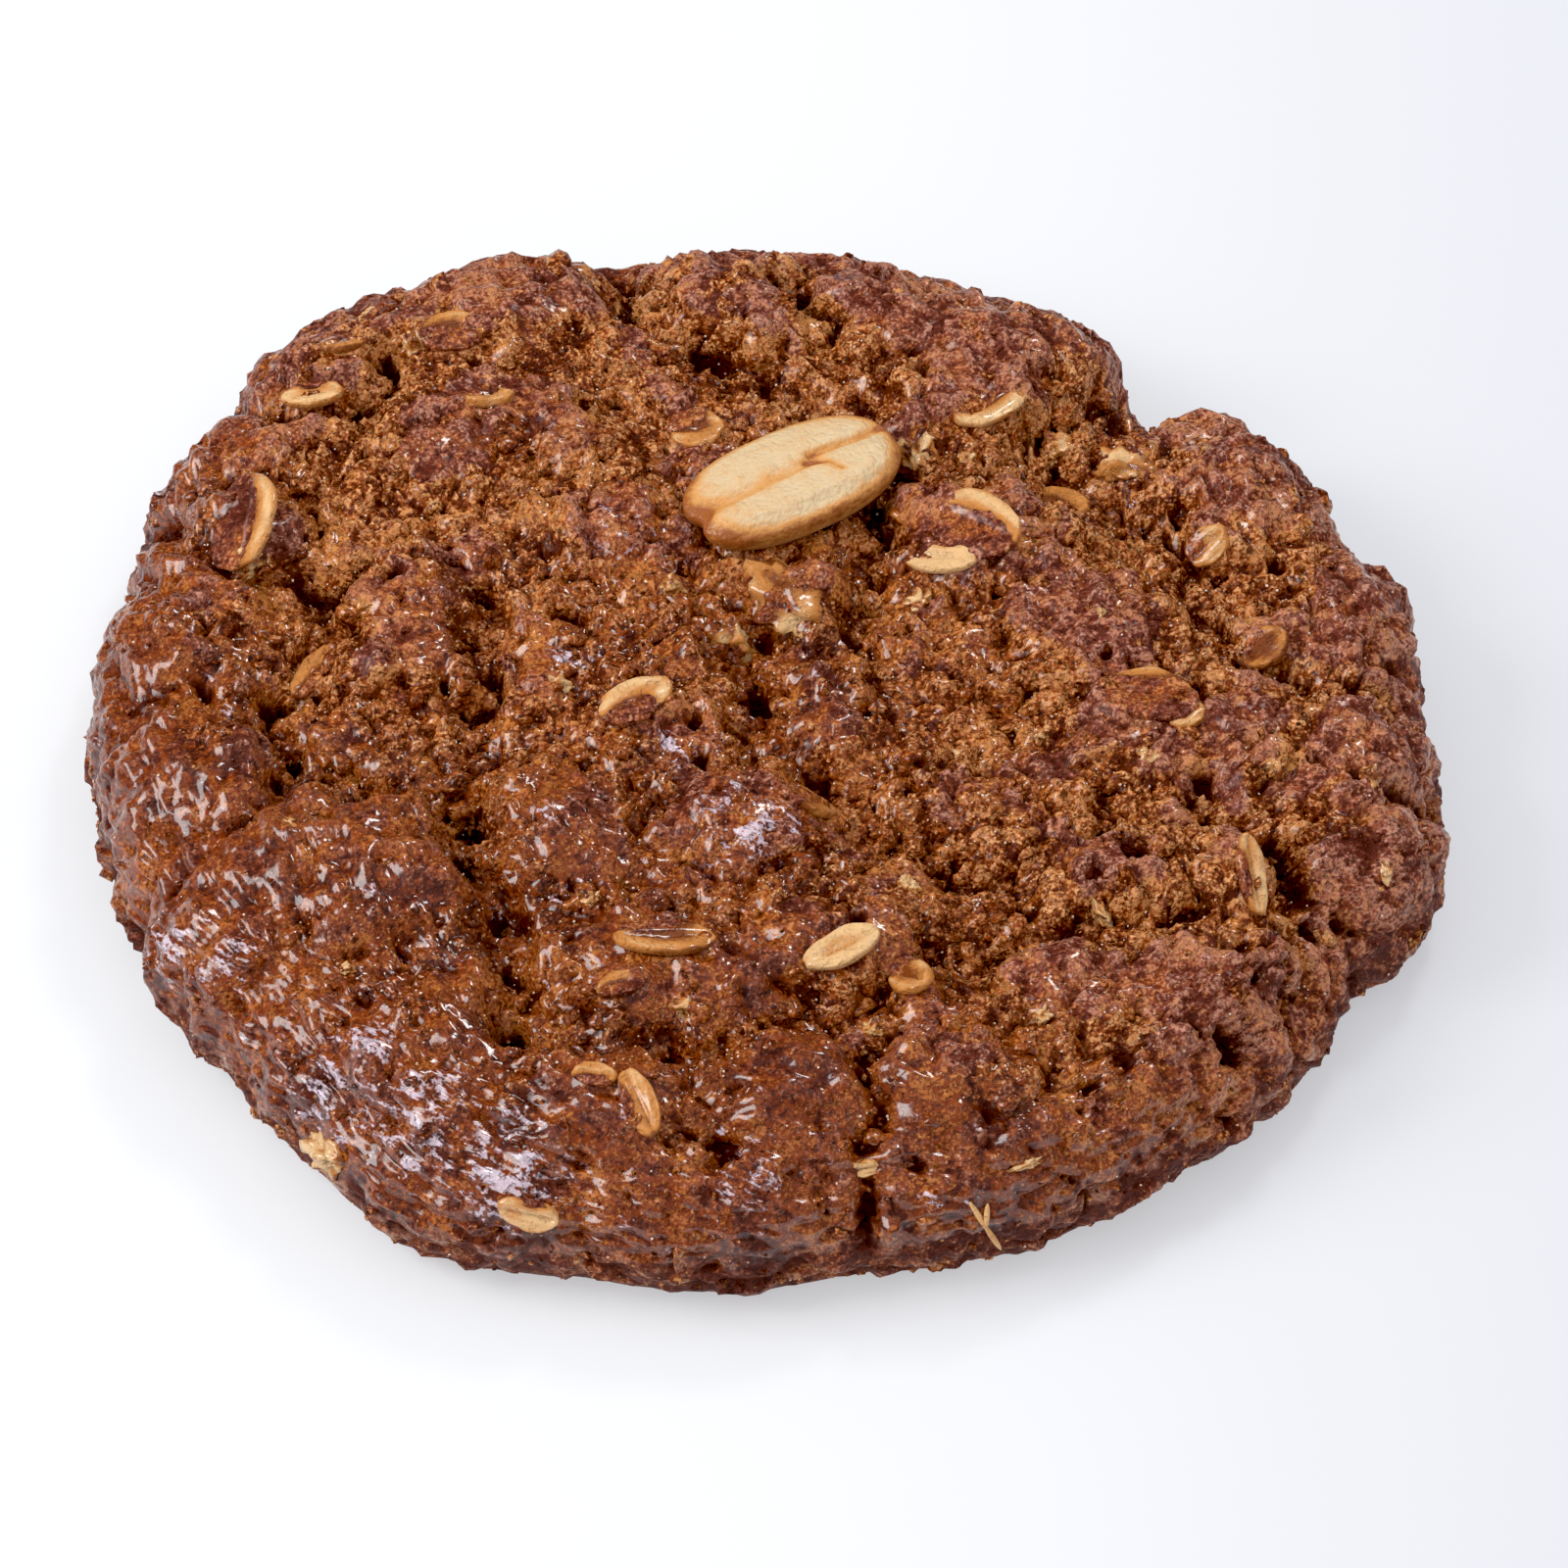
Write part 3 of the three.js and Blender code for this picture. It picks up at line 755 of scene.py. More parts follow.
@dataclass
class Relief:
    """The lumps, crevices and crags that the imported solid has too."""

    roundness: float = 0.62
    # Lumps of the crust: x, y, half-length, half-width, turn in degrees, rise
    lumps: tuple = (
        (-19, 40.5, 9, 6, 15, 1.9), (-27, 36.5, 7, 4, 35, 1.3), (-3, 40, 7.5, 6, 0, 1.9),
        (8, 38.5, 7, 6, -15, 1.7), (17, 35, 8, 6, -30, 1.9), (22.5, 33.5, 5, 5, -30, 1.7),
        (13.5, 29.5, 6.5, 4, 20, 1.3), (36, 19, 7, 7.5, -30, 2.1), (27.5, 20, 5, 4.5, 0, 1.2),
        (43, 9, 5, 7, 0, 1.6), (43.5, -4, 5.5, 7, 0, 1.8), (34, -4, 6, 6, 0, 1.5),
        (24.5, 5, 7.5, 7, 0, 1.7), (17, 14.5, 8.5, 6, -35, 2.4), (27, -5.5, 6, 5, -20, 1.6),
        (43.5, -17, 5, 9, 10, 1.8), (33.5, -17.5, 4, 4.5, 0, 1.3), (26, -18.5, 6.5, 4, 0, 1.2),
        (31, -28.5, 8, 5.5, 25, 1.7), (21.5, -30.5, 6, 6, 0, 1.5), (12.5, -35.5, 7, 7, 0, 1.6),
        (2, -37.5, 6, 6.5, 0, 1.4), (-12, -38, 8, 6, -10, 1.2), (-23, -35, 8, 6, -25, 1.3),
        (4.5, -24.5, 7.5, 5.5, 5, 1.9), (-8, -27.5, 8.5, 6, -5, 1.8), (-1.5, -14, 6.5, 5.5, -10, 2.5),
        (-14.5, -14.5, 6, 6, 0, 1.9), (-8, -5.5, 6.5, 5, 0, 1.3), (2.8, 7.5, 4, 4, 0, 1.7),
        (4.5, -3, 5, 5, 0, 1.5), (-12, 17, 7, 6, 0, 1.4), (-20, 25, 10, 7.5, 0, 1.6),
        (-26, 5.5, 6.5, 8, 10, 1.6), (-28.5, -18.5, 10, 7.5, -10, 2.7), (-38, -22, 6, 6, 30, 1.4),
        (-41, -8.5, 7.5, 5.5, -15, 2.1), (-42, 6, 6, 6, 0, 1.8), (-39.5, 16, 6.5, 5, 10, 2),
        (-37.5, 25.5, 7.5, 4.5, 35, 1.6), (-34, 33, 6, 4.5, 35, 1.4),
    )
    # Crevices: half-width, depth, then the plan points that they pass
    crevices: tuple = (
        (2.2, 2.6, ((-11.5, 45), (-10, 40), (-4, 35), (2, 31), (7, 27.5))),
        (1.4, 1.8, ((1, 42), (4, 38.5), (5.5, 34))),
        (2.6, 2.8, ((30, 32), (24, 28), (20.5, 25.5), (22.5, 20.5), (29, 16))),
        (1.5, 2, ((9.5, 21), (8, 14), (6.8, 8), (7, 3))),
        (1.3, 1.8, ((30.5, 14), (33, 10), (33.5, 4), (38, 1), (46, -1))),
        (1.8, 2.3, ((-1.5, 4), (0, -2), (0, -7))),
        (1.6, 2.2, ((-21, 9), (-20.3, 0), (-21, -9), (-21.3, -17), (-18, -24), (-17, -34))),
        (1.6, 2.2, ((-31.5, 10), (-33, 2), (-35.5, -3), (-33, -9), (-26, -10.8), (-21, -12))),
        (1.3, 1.8, ((-47, 20), (-41, 14), (-37.5, 10.5), (-31.5, 10))),
        (1.3, 1.6, ((-42, 29.5), (-36, 28), (-29.5, 28.5), (-28.3, 33.5))),
        (1.5, 1.8, ((-17, -33), (-7, -35), (0, -33.5), (8, -30.5))),
        (1.9, 2.2, ((4, -9), (7, -13), (13, -17), (18.5, -20.5))),
        (1.4, 1.7, ((12, -27.5), (17, -25), (22.5, -24), (27, -22.5), (33, -24.5))),
        (1.4, 1.8, ((32, -12), (37, -16), (38, -23), (39.5, -31))),
        (1.1, 1.3, ((9.6, -30), (7.5, -38), (8, -46))),
    )

    def lump_height(self, x: np.ndarray, y: np.ndarray) -> np.ndarray:
        """Height of the highest lump at each plan point."""
        height = np.zeros(x.shape)
        for *oval, rise in self.lumps:
            share = turned_share(x, y, oval)
            height = np.maximum(height, rise * np.maximum(0, 1 - share) ** self.roundness)
        return height

    def crevice_depth(self, x: np.ndarray, y: np.ndarray, z: np.ndarray) -> np.ndarray:
        """Depth of all crevices together at each point."""
        depth = np.zeros(x.shape)
        for width, deep, path in self.crevices:
            depth += deep * np.exp(-((distance_to_path(x, y, path) / width) ** 2))
        return depth * smoothstep(z, 5, 11)

    @staticmethod
    def crags(x: np.ndarray, y: np.ndarray, z: np.ndarray) -> np.ndarray:
        """Waves finer than the lumps."""
        broad = np.sin(0.61 * x + 1.3 * np.sin(0.37 * y)) * np.cos(0.67 * y - 1.1 * np.sin(0.43 * x))
        close = np.sin(1.27 * x - 0.83 * y + 0.5 * z) * np.sin(0.94 * x + 1.39 * y - 0.9 * z)
        return 0.3 * broad + 0.22 * close

    def at(self, points: np.ndarray) -> tuple[np.ndarray, np.ndarray, np.ndarray]:
        """The solid's relief at points on the plain dough.

        Args:
            points: Places in millimetres, one a row.

        Returns:
            How far the skin stands out there, how high its lump alone is, and how deep the crevices are.
        """
        x, y, z = points.T
        wobble = 0.7
        wx = x + wobble * np.sin(0.9 * y + 0.4 * x)
        wy = y + wobble * np.sin(0.8 * x - 0.5 * y)
        depth = self.crevice_depth(wx, wy, z)
        lump = self.lump_height(wx, wy)
        return lump - depth + self.crags(x, y, z), lump, depth


# Rolled oats in the crust: x, y, length, width, turn in degrees, tilt in degrees, how far it stands out, then
# the side of it that is bare of dough in degrees, how far dough covers it from the other side, and its toast
OATS = (
    (17.2, 28.4, 6.8, 3.6, 40, -16, 0.45, -80, 0.55, -0.1),
    (15.9, 13.5, 8, 5.2, -42, 14, 0.45, 90, 0.7, 0.0),
    (13.2, 11.1, 6.2, 2.7, -24, -16, 0.5, -90, 0.2, -0.2),
    (-9.2, -3.8, 5.9, 3.6, 38, 10, 0.5, 60, 0.45, 0.1),
    (-6.7, -26.9, 7.2, 3.3, 6, -10, 0.4, -70, 0.4, 0.45),
    (5.8, -27.4, 5.8, 3.1, 27, -12, 0.65, -90, 0, -0.2),
    (10.6, -30, 4.7, 2.9, -56, 12, 0.55, -10, 0.3, 0.3),
    (-8.3, -40.6, 5.4, 2.5, -67, 12, 0.45, 90, 0.3, 0.4),
    (-38.2, 14.8, 8.4, 6, 78, -12, 0.5, -80, 0.72, 0.1),
    (-34, 29.2, 4.6, 2.4, 10, -15, 0.45, -90, 0.35, 0.1),
    (-23.6, 35.4, 5.4, 3.4, 15, 12, 0.4, 60, 0.6, 0.5),
    (-31.7, 34.4, 4.2, 2.2, 26, -12, 0.35, -90, 0.4, 0.6),
    (-20.5, 27.6, 3.8, 2.3, 9, -10, 0.4, -60, 0.45, 0.3),
    (-32.8, 1.9, 5.2, 2.3, 58, 12, 0.45, 60, 0.35, 0.6),
    (-5.1, 25.6, 4.4, 3.8, 10, 10, 0.4, -60, 0.5, 0.3),
    (28, -3, 7.6, 5.4, -30, 12, 0.45, 120, 0.8, 0.3),
    (34.7, -19.7, 6.2, 2.2, -71, 22, 0.5, 90, 0.35, 0.1),
    (36.8, 3.4, 4, 3, 36, -12, 0.35, -60, 0.3, 0.7),
    (32.9, 13.1, 3.6, 2.8, 26, 10, 0.35, -40, 0.4, 0.25),
    (-15.9, -46.3, 4.4, 2.3, -17, 10, 0.5, -90, 0.2, 0.0),
    (22.5, 20, 5.4, 2.6, -51, 18, 0.45, 90, 0.45, 0.6),
    (3, -12.3, 5.2, 4.6, -10, -8, 0.45, 10, 0.6, 0.4), (30.5, -5, 3, 2.4, 29, 8, 0.35, -60, 0.5, 0.3),
    (-9.6, -30.5, 4, 2.1, 19, -10, 0.4, 90, 0.5, 0.5),
    (-11.4, -38.7, 3.2, 1.8, -14, 8, 0.4, 90, 0.45, 0.45),
    (6.9, -43.4, 2.6, 1.3, 10, 8, 0.4, -90, 0.1, 0.1),
)
OAT_THICKNESS = 1.1

# Nut pieces in the crust: x, y, length, width, height, turn in degrees, how far it stands out, bareness and
# toast
NUTS = (
    (22.4, 25.8, 3.2, 2.7, 2.4, 20, 1.0, 0.8, 0.35), (26.6, 21.2, 4.3, 3.6, 2.8, -10, 0.9, 0.7, 0.6),
    (11.7, 23.2, 2.7, 3.8, 2.4, 10, 0.8, 0.65, 0.45), (2.6, 7.2, 7.6, 6.9, 4, 10, 0.7, 0.42, 0.55),
    (-2.1, 4.7, 4.8, 3.8, 2.6, 30, 0.8, 0.45, 0.6), (-26.6, 34.3, 3.2, 2.8, 2.2, 0, 0.6, 0.55, 0.7),
    (-30.2, -39.7, 4.2, 2.8, 2.4, -40, 0.6, 0.8, 0.2), (-37.7, 11.7, 3, 2.2, 2, 20, 0.6, 0.7, 0.2),
)
# Smaller bits of nut and seed, listed in the same way
BITS = (
    (-6.6, 9.2, 1.9, 1.8, 1.6, 0, 0.9, 1, 0.45), (10.4, -20.4, 1.8, 1.7, 1.6, 0, 0.9, 0.9, 0.2),
    (24.8, 5, 0.9, 1, 0.9, 0, 0.5, 1, 0.1), (44.5, -17.5, 1.1, 1.7, 1, 20, 0.5, 1, 0.05),
    (46.8, -18.5, 1.8, 2, 1.6, 0, 0.6, 0.9, 0.85), (-14.6, -0.6, 2, 1.6, 1.5, 20, 0.6, 0.9, 0.1),
    (43.8, -10, 1.2, 1.7, 1.3, 10, 0.6, 0.9, 0.8), (-5.6, -31.6, 2.2, 1.8, 1.6, 0, 0.6, 0.8, 0.5),
    (11.6, 7.8, 2.2, 1.8, 1.5, 30, 0.6, 0.85, 0.3), (-30.3, 40.6, 2.2, 1.7, 1.5, 24, 0.5, 0.9, 0.3),
    (37.1, -8.7, 2.6, 1.9, 1.4, 48, 0.5, 0.7, 0.4), (28.1, -8.8, 2.4, 2.2, 1.4, 40, 0.4, 0.6, 0.45),
    (24, -21.7, 2.9, 1.2, 1.2, -50, 0.6, 0.9, 0.3), (18.3, -43.2, 2.3, 0.7, 0.8, 28, 0.4, 1, 0.15),
    (15.2, 22.6, 1.6, 1.3, 1.2, 0, 0.5, 0.8, 0.5), (-24.5, 18, 1.4, 1.2, 1.1, 0, 0.5, 0.8, 0.5),
    (7.6, -33.6, 1.6, 1.4, 1.2, 0, 0.5, 0.8, 0.55), (19.5, -33, 1.5, 1.3, 1.1, 0, 0.5, 0.8, 0.5),
    (-29, -28, 1.3, 1.1, 1, 0, 0.5, 0.9, 0.4), (-12, -22, 1.4, 1.2, 1, 0, 0.5, 0.8, 0.5),
    (33, 22.8, 0.9, 2.2, 1.1, 0, 0.5, 0.9, 0.7), (14.5, -7, 1.7, 1.5, 1.2, 0, 0.5, 0.8, 0.4),
    (20, -5.5, 1.7, 1.4, 1.2, 0, 0.5, 0.8, 0.35), (-33.5, -16, 1.5, 1.3, 1, 0, 0.4, 0.8, 0.5),
)


@dataclass(frozen=True)
class CellLayer:
    """One layer of raised cells on the dough: plates, clods or small clods. Lengths are in millimetres."""

    size: float
    seed: int
    rise: float
    gap: float
    least: float
    sunk: float
    # How strong it is on whole skin, and how much stronger where the skin is torn
    whole: float
    more_torn: float
    slope: float = 0
    lean_whole: float = 1
    lean_more_torn: float = 0

    def height(self, points: np.ndarray, torn: np.ndarray) -> np.ndarray:
        """How far the layer stands out at each point."""
        cells = Cells.at(points, self.size, self.seed)
        raised = self.rise * cells.crust(self.gap) * (self.least + cells.chances[:, 0]) - self.sunk
        leaning = cells.tilted(self.slope) * (self.lean_whole + self.lean_more_torn * torn)
        return raised * (self.whole + self.more_torn * torn) + leaning


@dataclass
class Dough:
    """The cookie's body: the solid's own relief at a finer step, with flaky clods, pits and torn crumb."""

    effects: SharedEffects
    section: Section
    relief: Relief
    finish: bpy.types.Material
    # The ball's faces are cut into this many squares a side, in two steps
    squares: int = 128
    first_squares: int = 16
    # Plates, clods and small clods
    layers: tuple = (
        CellLayer(4.4, 1, 0.5, 0.9, 0.5, 0.5, 0.6, 0.4, slope=0.16),
        CellLayer(2.5, 2, 0.4, 0.7, 0.4, 0.36, 0.45, 0.75, slope=0.2, lean_whole=0.4, lean_more_torn=0.6),
        CellLayer(1.25, 4, 0.3, 0.5, 0.3, 0.24, 0.5, 0.7),
    )
    warp: float = 0.9
    warp_size: float = 2.2
    pit_spacing: float = 2.3
    pit_seed: int = 3
    pit_depth: float = 1.2
    cavity_rounds: int = 14
    cavity_reach: float = 0.95
    dip_rounds: int = 3
    dip_reach: float = 0.14
    margin: float = 0.02
    # Painted shade: how much darker the lower side of the dough is made
    lower_side_shade: float = 1.1
    # Plan direction in which the glaze thickens
    glaze_way: tuple = (-0.45, -0.89)
    streak_height: float = 0.42
    calm: float = 0.45
    # Painted glare highlight: how far its patches spread, and how strong the scattered ones are
    glare_spread: float = 1.25
    scattered_glare: float = 0.45
    # Deep holes between the lumps: x, y, radius, depth
    holes: tuple = (
        (21.7, 31, 1.7, 2.6), (10.6, 21.6, 1.1, 2), (-14.2, 6.7, 1.5, 2.2), (-0.2, -0.5, 1.5, 1.8),
        (-6.8, -35, 1.1, 2.4), (7.5, -46.2, 0.9, 2), (-2.7, -43.4, 1.4, 2.2), (24.7, -13.5, 1.1, 1.9),
        (26.6, -17, 1.4, 2), (36.7, -15.7, 1.8, 2.2), (39.4, -21.7, 1.0, 2), (31.7, -9.7, 0.8, 1.8),
        (45, -2.3, 1.3, 2), (30.4, 15.3, 1.6, 2), (-37.4, 10.3, 1.2, 2.4), (-26.8, 9.9, 0.9, 1.8),
        (6.8, -24.4, 0.8, 1.6), (-4, 35.5, 2, 2.2), (3, 41.5, 1.3, 1.8), (-36, -1, 1.3, 2),
        (-34.5, -7, 1.2, 1.8), (-21, -12, 1.2, 2.2), (-21.3, -17, 1.3, 2.2), (-18.5, -22, 1.0, 1.8),
        (-17.5, -33, 1.4, 2.2), (-28.3, 33.8, 1.1, 1.8), (-29.5, 27.5, 0.9, 1.6), (17, -25.5, 1.0, 1.8),
        (13, -17, 1.3, 2), (33, -33, 1.2, 2), (-4.5, -8.5, 0.9, 1.8), (8.5, 11, 1.1, 1.8),
    )
    # Painted glare highlight, a pale patch: x, y, radius, strength
    glare_spots: tuple = (
        (-41.8, -23.2, 2.6, 0.7), (-30.4, -35.8, 2.6, 0.75), (-27.3, -34.6, 2.4, 0.7),
        (-24.1, -41.1, 2.8, 0.85), (-37.7, -25.4, 2.6, 0.6), (-22, -39.5, 2.2, 0.65),
        (-28.5, -38.5, 1.8, 0.6), (-17.3, -44.6, 3.4, 0.9), (-13.4, 2.5, 2.2, 0.7), (-6, -7.6, 2, 0.75),
        (-1.4, -15.8, 3.4, 0.7), (-0.4, -45.2, 2.4, 0.45), (-8.4, -41.5, 1.2, 0.5), (-9, 13, 4.5, 0.35),
        (-38, -14, 3, 0.35), (-27, -29, 3, 0.4), (7, 0.6, 2, 0.35), (28, 18, 2, 0.3), (2, 24, 2, 0.3),
        (12, -1, 2.5, 0.3),
    )

    def start_mesh(self) -> bpy.types.Object:
        """Adds a cube, subdivides its faces and rounds it into a ball of even squares."""
        bpy.ops.object.select_all(action="DESELECT")
        bpy.ops.mesh.primitive_cube_add(size=2)
        ball = bpy.context.object
        edit_mode(ball)
        bpy.ops.mesh.subdivide(number_cuts=self.first_squares - 1)
        bpy.ops.mesh.subdivide(number_cuts=self.squares // self.first_squares - 1)
        bpy.ops.object.mode_set(mode="OBJECT")
        return ball

    def torn(self, points: np.ndarray, lump: np.ndarray, crevice: np.ndarray) -> np.ndarray:
        """How far the skin is torn open, from 0 to 1: least on the lumps, most in the crevices."""
        patches = noise_at(points, 7, 3) + 0.6 * noise_at(points, 2.8, 4)
        low_ground = smoothstep(lump, 1.7, 0.5)
        edge = self.section.edge_radius(np.arctan2(points[:, 1], points[:, 0]))
        inside = smoothstep(np.hypot(points[:, 0], points[:, 1]) / edge, 0.95, 0.84)
        opened = smoothstep(0.7 * low_ground + patches, 0.15, 0.65)
        return np.clip(smoothstep(crevice, 0.15, 1.1) * (0.4 + 0.6 * inside) + 0.8 * opened * inside, 0, 1)

    def detail(self, points: np.ndarray, torn: np.ndarray) -> np.ndarray:
        """Plates, clods and pits finer than the solid's relief, in millimetres outward."""
        glaze = self.glaze(points)
        warp = np.column_stack([noise_at(points, self.warp_size, seed) for seed in (11, 12, 13)])
        moved = points + self.warp * warp
        out = sum(layer.height(moved, torn) for layer in self.layers)
        pits = Cells.at(moved, self.pit_spacing, self.pit_seed)
        radius = 0.3 + 0.75 * np.clip(pits.chances[:, 1] * 2 - 1, 0, 1)
        wanted = pits.chances[:, 0] > 0.88 - 0.5 * torn
        out -= self.pit_depth * np.where(wanted, smoothstep(radius - pits.nearest, -0.1, 0.4), 0)
        swell = noise_at(points, 1.5, 5) * 0.14 + noise_at(points, 0.85, 6) * 0.2
        wrinkles = self.streak_height * self.wrinkle(points) * smoothstep(glaze, 0.2, 0.7)
        return out * (1 - self.calm * smoothstep(glaze, 0.45, 0.9)) + swell * (0.6 + 0.4 * torn) + wrinkles

    @staticmethod
    def wrinkle(points: np.ndarray) -> np.ndarray:
        """Wrinkles of the glaze, drawn out towards the front right, from about -1.6 to 1.6."""
        x, y, z = points.T
        drawn_out = np.column_stack([(0.8 * x - 0.6 * y) / 2.6, 0.6 * x + 0.8 * y, z])
        return noise_at(drawn_out, 0.95, 15) + 0.6 * noise_at(drawn_out, 0.6, 16)

    def hole_depth(self, points: np.ndarray) -> np.ndarray:
        """Depth of the named holes at each point."""
        depth = np.zeros(len(points))
        ragged = 0.55 * noise_at(points, 1.3, 8) + 0.3 * noise_at(points, 0.7, 18)
        for x, y, radius, deep in self.holes:
            away = np.hypot(points[:, 0] - x, points[:, 1] - y) * (1 + ragged)
            depth = np.maximum(depth, deep * smoothstep(away, radius * 1.25, radius * 0.4))
        return depth * smoothstep(points[:, 2], 3, 8)

    @staticmethod
    def seats(points: np.ndarray) -> np.ndarray:
        """1 under each oat and nut piece, where the dough lies smooth, and 0 away from them."""
        seat = np.zeros(len(points))
        for x, y, length, width, turn, *_ in OATS:
            share = turned_share(points[:, 0], points[:, 1], (x, y, length / 2, width / 2, turn))
            seat = np.maximum(seat, smoothstep(share, 1.5, 0.7))
        for x, y, length, width, _, turn, *_ in NUTS:
            share = turned_share(points[:, 0], points[:, 1], (x, y, length / 2, width / 2, turn))
            seat = np.maximum(seat, smoothstep(share, 1.3, 0.7))
        return seat

    @staticmethod
    def below(
        ends: np.ndarray, points: np.ndarray, normals: np.ndarray, rounds: int, reach: float
    ) -> np.ndarray:
        """How far each point lies below its surroundings.

        Args:
            ends: The two ends of every edge.
            points: The surface's points.
            normals: Outward directions there.
            rounds: How many times the surroundings are smoothed, for a wider look.
            reach: Depth that counts as 1.

        Returns:
            Numbers from -1 to 1.
        """
        count = np.bincount(ends.ravel(), minlength=len(points)).astype(float)
        smooth = points.copy()
        for _ in range(rounds):
            total = np.column_stack([
                np.bincount(ends[:, 0], smooth[ends[:, 1], axis], len(points))
                + np.bincount(ends[:, 1], smooth[ends[:, 0], axis], len(points)) for axis in range(3)
            ])
            smooth = total / count[:, None]
        return np.clip(np.einsum("ij,ij->i", smooth - points, normals) / reach, -1, 1)

    def glaze(self, points: np.ndarray) -> np.ndarray:
        """Where sugar glaze pooled: most on the front left, a little everywhere."""
        toward = points[:, :2] @ np.array(self.glaze_way)
        front = smoothstep(toward, 9, 37)
        left = smoothstep(-points[:, 0], 30, 46)
        pools = 0.5 + 0.5 * noise_at(points, 5, 9)
        centre = np.exp(-((np.hypot(points[:, 0] + 6, points[:, 1] + 2) / 20) ** 2))
        share = (0.25 + 0.8 * front + 0.6 * left + 0.5 * centre) * (0.35 + 0.9 * pools)
        return np.clip(share * smoothstep(points[:, 2], 3, 9), 0, 1)

    def painted_glare(self, points: np.ndarray) -> np.ndarray:
        """Where the glare of the glaze is painted as a pale highlight."""
        glare = np.zeros(len(points))
        for x, y, radius, strength in self.glare_spots:
            away = np.hypot(points[:, 0] - x, points[:, 1] - y) / (self.glare_spread * radius)
            glare = np.maximum(glare, strength * np.exp(-(away ** 2)))
        scattered = smoothstep(noise_at(points, 1.9, 19), 0.2, 0.55)
        scattered *= smoothstep(self.glaze(points), 0.25, 0.75)
        glare = np.maximum(glare, self.scattered_glare * scattered)
        return glare * (0.8 + 0.9 * self.wrinkle(points)) * smoothstep(points[:, 2], 5, 9)

    def build(self) -> bpy.types.Object:
        """Builds the dough and stands it in for its solid."""
        obj = self.start_mesh()
        grid = np.tan(points_of(obj) * math.pi / 4)
        sphere = grid / np.linalg.norm(grid, axis=1)[:, None]
        plain, normals = self.section.lay(sphere)
        rise, lump, crevice = self.relief.at(plain)
        fade = smoothstep(plain[:, 2], 0, self.section.fade_height)
        solid = plain + normals * (rise * fade)[:, None]
        torn = self.torn(solid, lump, crevice)
        seats = self.seats(solid)
        fine_fade = smoothstep(plain[:, 2], 0.2, 2.5)
        out = (self.detail(solid, torn) * (1 - 0.75 * seats) - self.hole_depth(solid)) * fine_fade
        points = solid + normals * out[:, None]
        low, high = (np.array(corner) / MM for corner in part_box("cookie"))
        points = np.clip(points, low + self.margin, high - self.margin)
        points[plain[:, 2] <= 1e-6, 2] = 0
        write_points(obj, points)
        write_mask(obj, "crumb", torn)
        ends = edges_of(obj)
        # How far the skin lies below its surroundings: the crust paints shade in these cavities and dips
        write_mask(obj, "cavity", self.below(ends, points, normals, self.cavity_rounds, self.cavity_reach))
        write_mask(obj, "dip", self.below(ends, points, normals, self.dip_rounds, self.dip_reach))
        write_mask(obj, "glaze", self.glaze(points))
        # Painted highlight: where the glare of the glaze is laid
        write_mask(obj, "painted_glare", self.painted_glare(solid))
        # Painted shade: the dough darkens towards its base, on its shaded lower side
        write_mask(obj, "tone_and_shade", -self.lower_side_shade * smoothstep(points[:, 2], 10.5, 4))
        write_patches(obj, points)
        finish_piece(obj, "dough", self.finish)
        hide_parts("cookie")
        return obj


class Skin:
    """Finds the dough's finished surface for the pieces that lie on it."""

    masks = ("crumb", "glaze")

    def __init__(self, dough: bpy.types.Object) -> None:
        """Keeps the surface and its masks."""
        self.points = points_of(dough) / MM
        corners = np.empty(len(dough.data.polygons) * 4, int)
        dough.data.polygons.foreach_get("vertices", corners)
        self.faces = corners.reshape(-1, 4)
        self.tree = BVHTree.FromPolygons(self.points.tolist(), self.faces.tolist())
        self.values = {}
        for name in self.masks:
            values = np.empty(len(self.points), np.float32)
            dough.data.attributes[name].data.foreach_get("value", values)
            self.values[name] = values

    def above(self, x: float, y: float, reach: float = 2.0) -> tuple[Vector, Vector]:
        """The surface at a plan point, looking down.

        Args:
            x: Plan place in millimetres.
            y: Plan place in millimetres.
            reach: How far around the place the direction is averaged.

        Returns:
            The place on the skin and the smoothed outward direction there.
        """
        hits = []
        for dx, dy in ((0, 0), (reach, 0), (-reach, 0), (0, reach), (0, -reach)):
            place, _, _, _ = self.tree.ray_cast(Vector((x + dx, y + dy, 40)), Vector((0, 0, -1)))
            hits.append(place if place and place.z > 0.5 else None)
        middle = hits[0] or self.tree.find_nearest(Vector((x, y, 8)))[0]
        east, west, north, south = (hit or middle for hit in hits[1:])
        normal = (east - west).cross(north - south)
        if normal.length < 1e-6:
            normal = Vector((x, y, 0))
        return middle, normal.normalized()

    def scatter(self, count: int, wanted: Callable, seed: int) -> list[tuple[Vector, Vector, int]]:
        """Random places on the skin.

        Args:
            count: How many places.
            wanted: Takes a place and its crumb mask, and gives the chance from 0 to 1 that it is kept.
            seed: Picks another draw.

        Returns:
            Places with their outward directions and the dough's vertex there.
        """
        draw = np.random.default_rng(seed)
        places = []
        while len(places) < count:
            face = self.faces[draw.integers(len(self.faces))]
            corners = self.points[face]
            middle = corners.mean(0)
            if middle[2] > 0.9 and draw.random() < wanted(middle, float(self.values["crumb"][face[0]])):
                normal = np.cross(corners[2] - corners[0], corners[3] - corners[1])
                places.append((Vector(middle), Vector(normal).normalized(), int(face[0])))
        return places


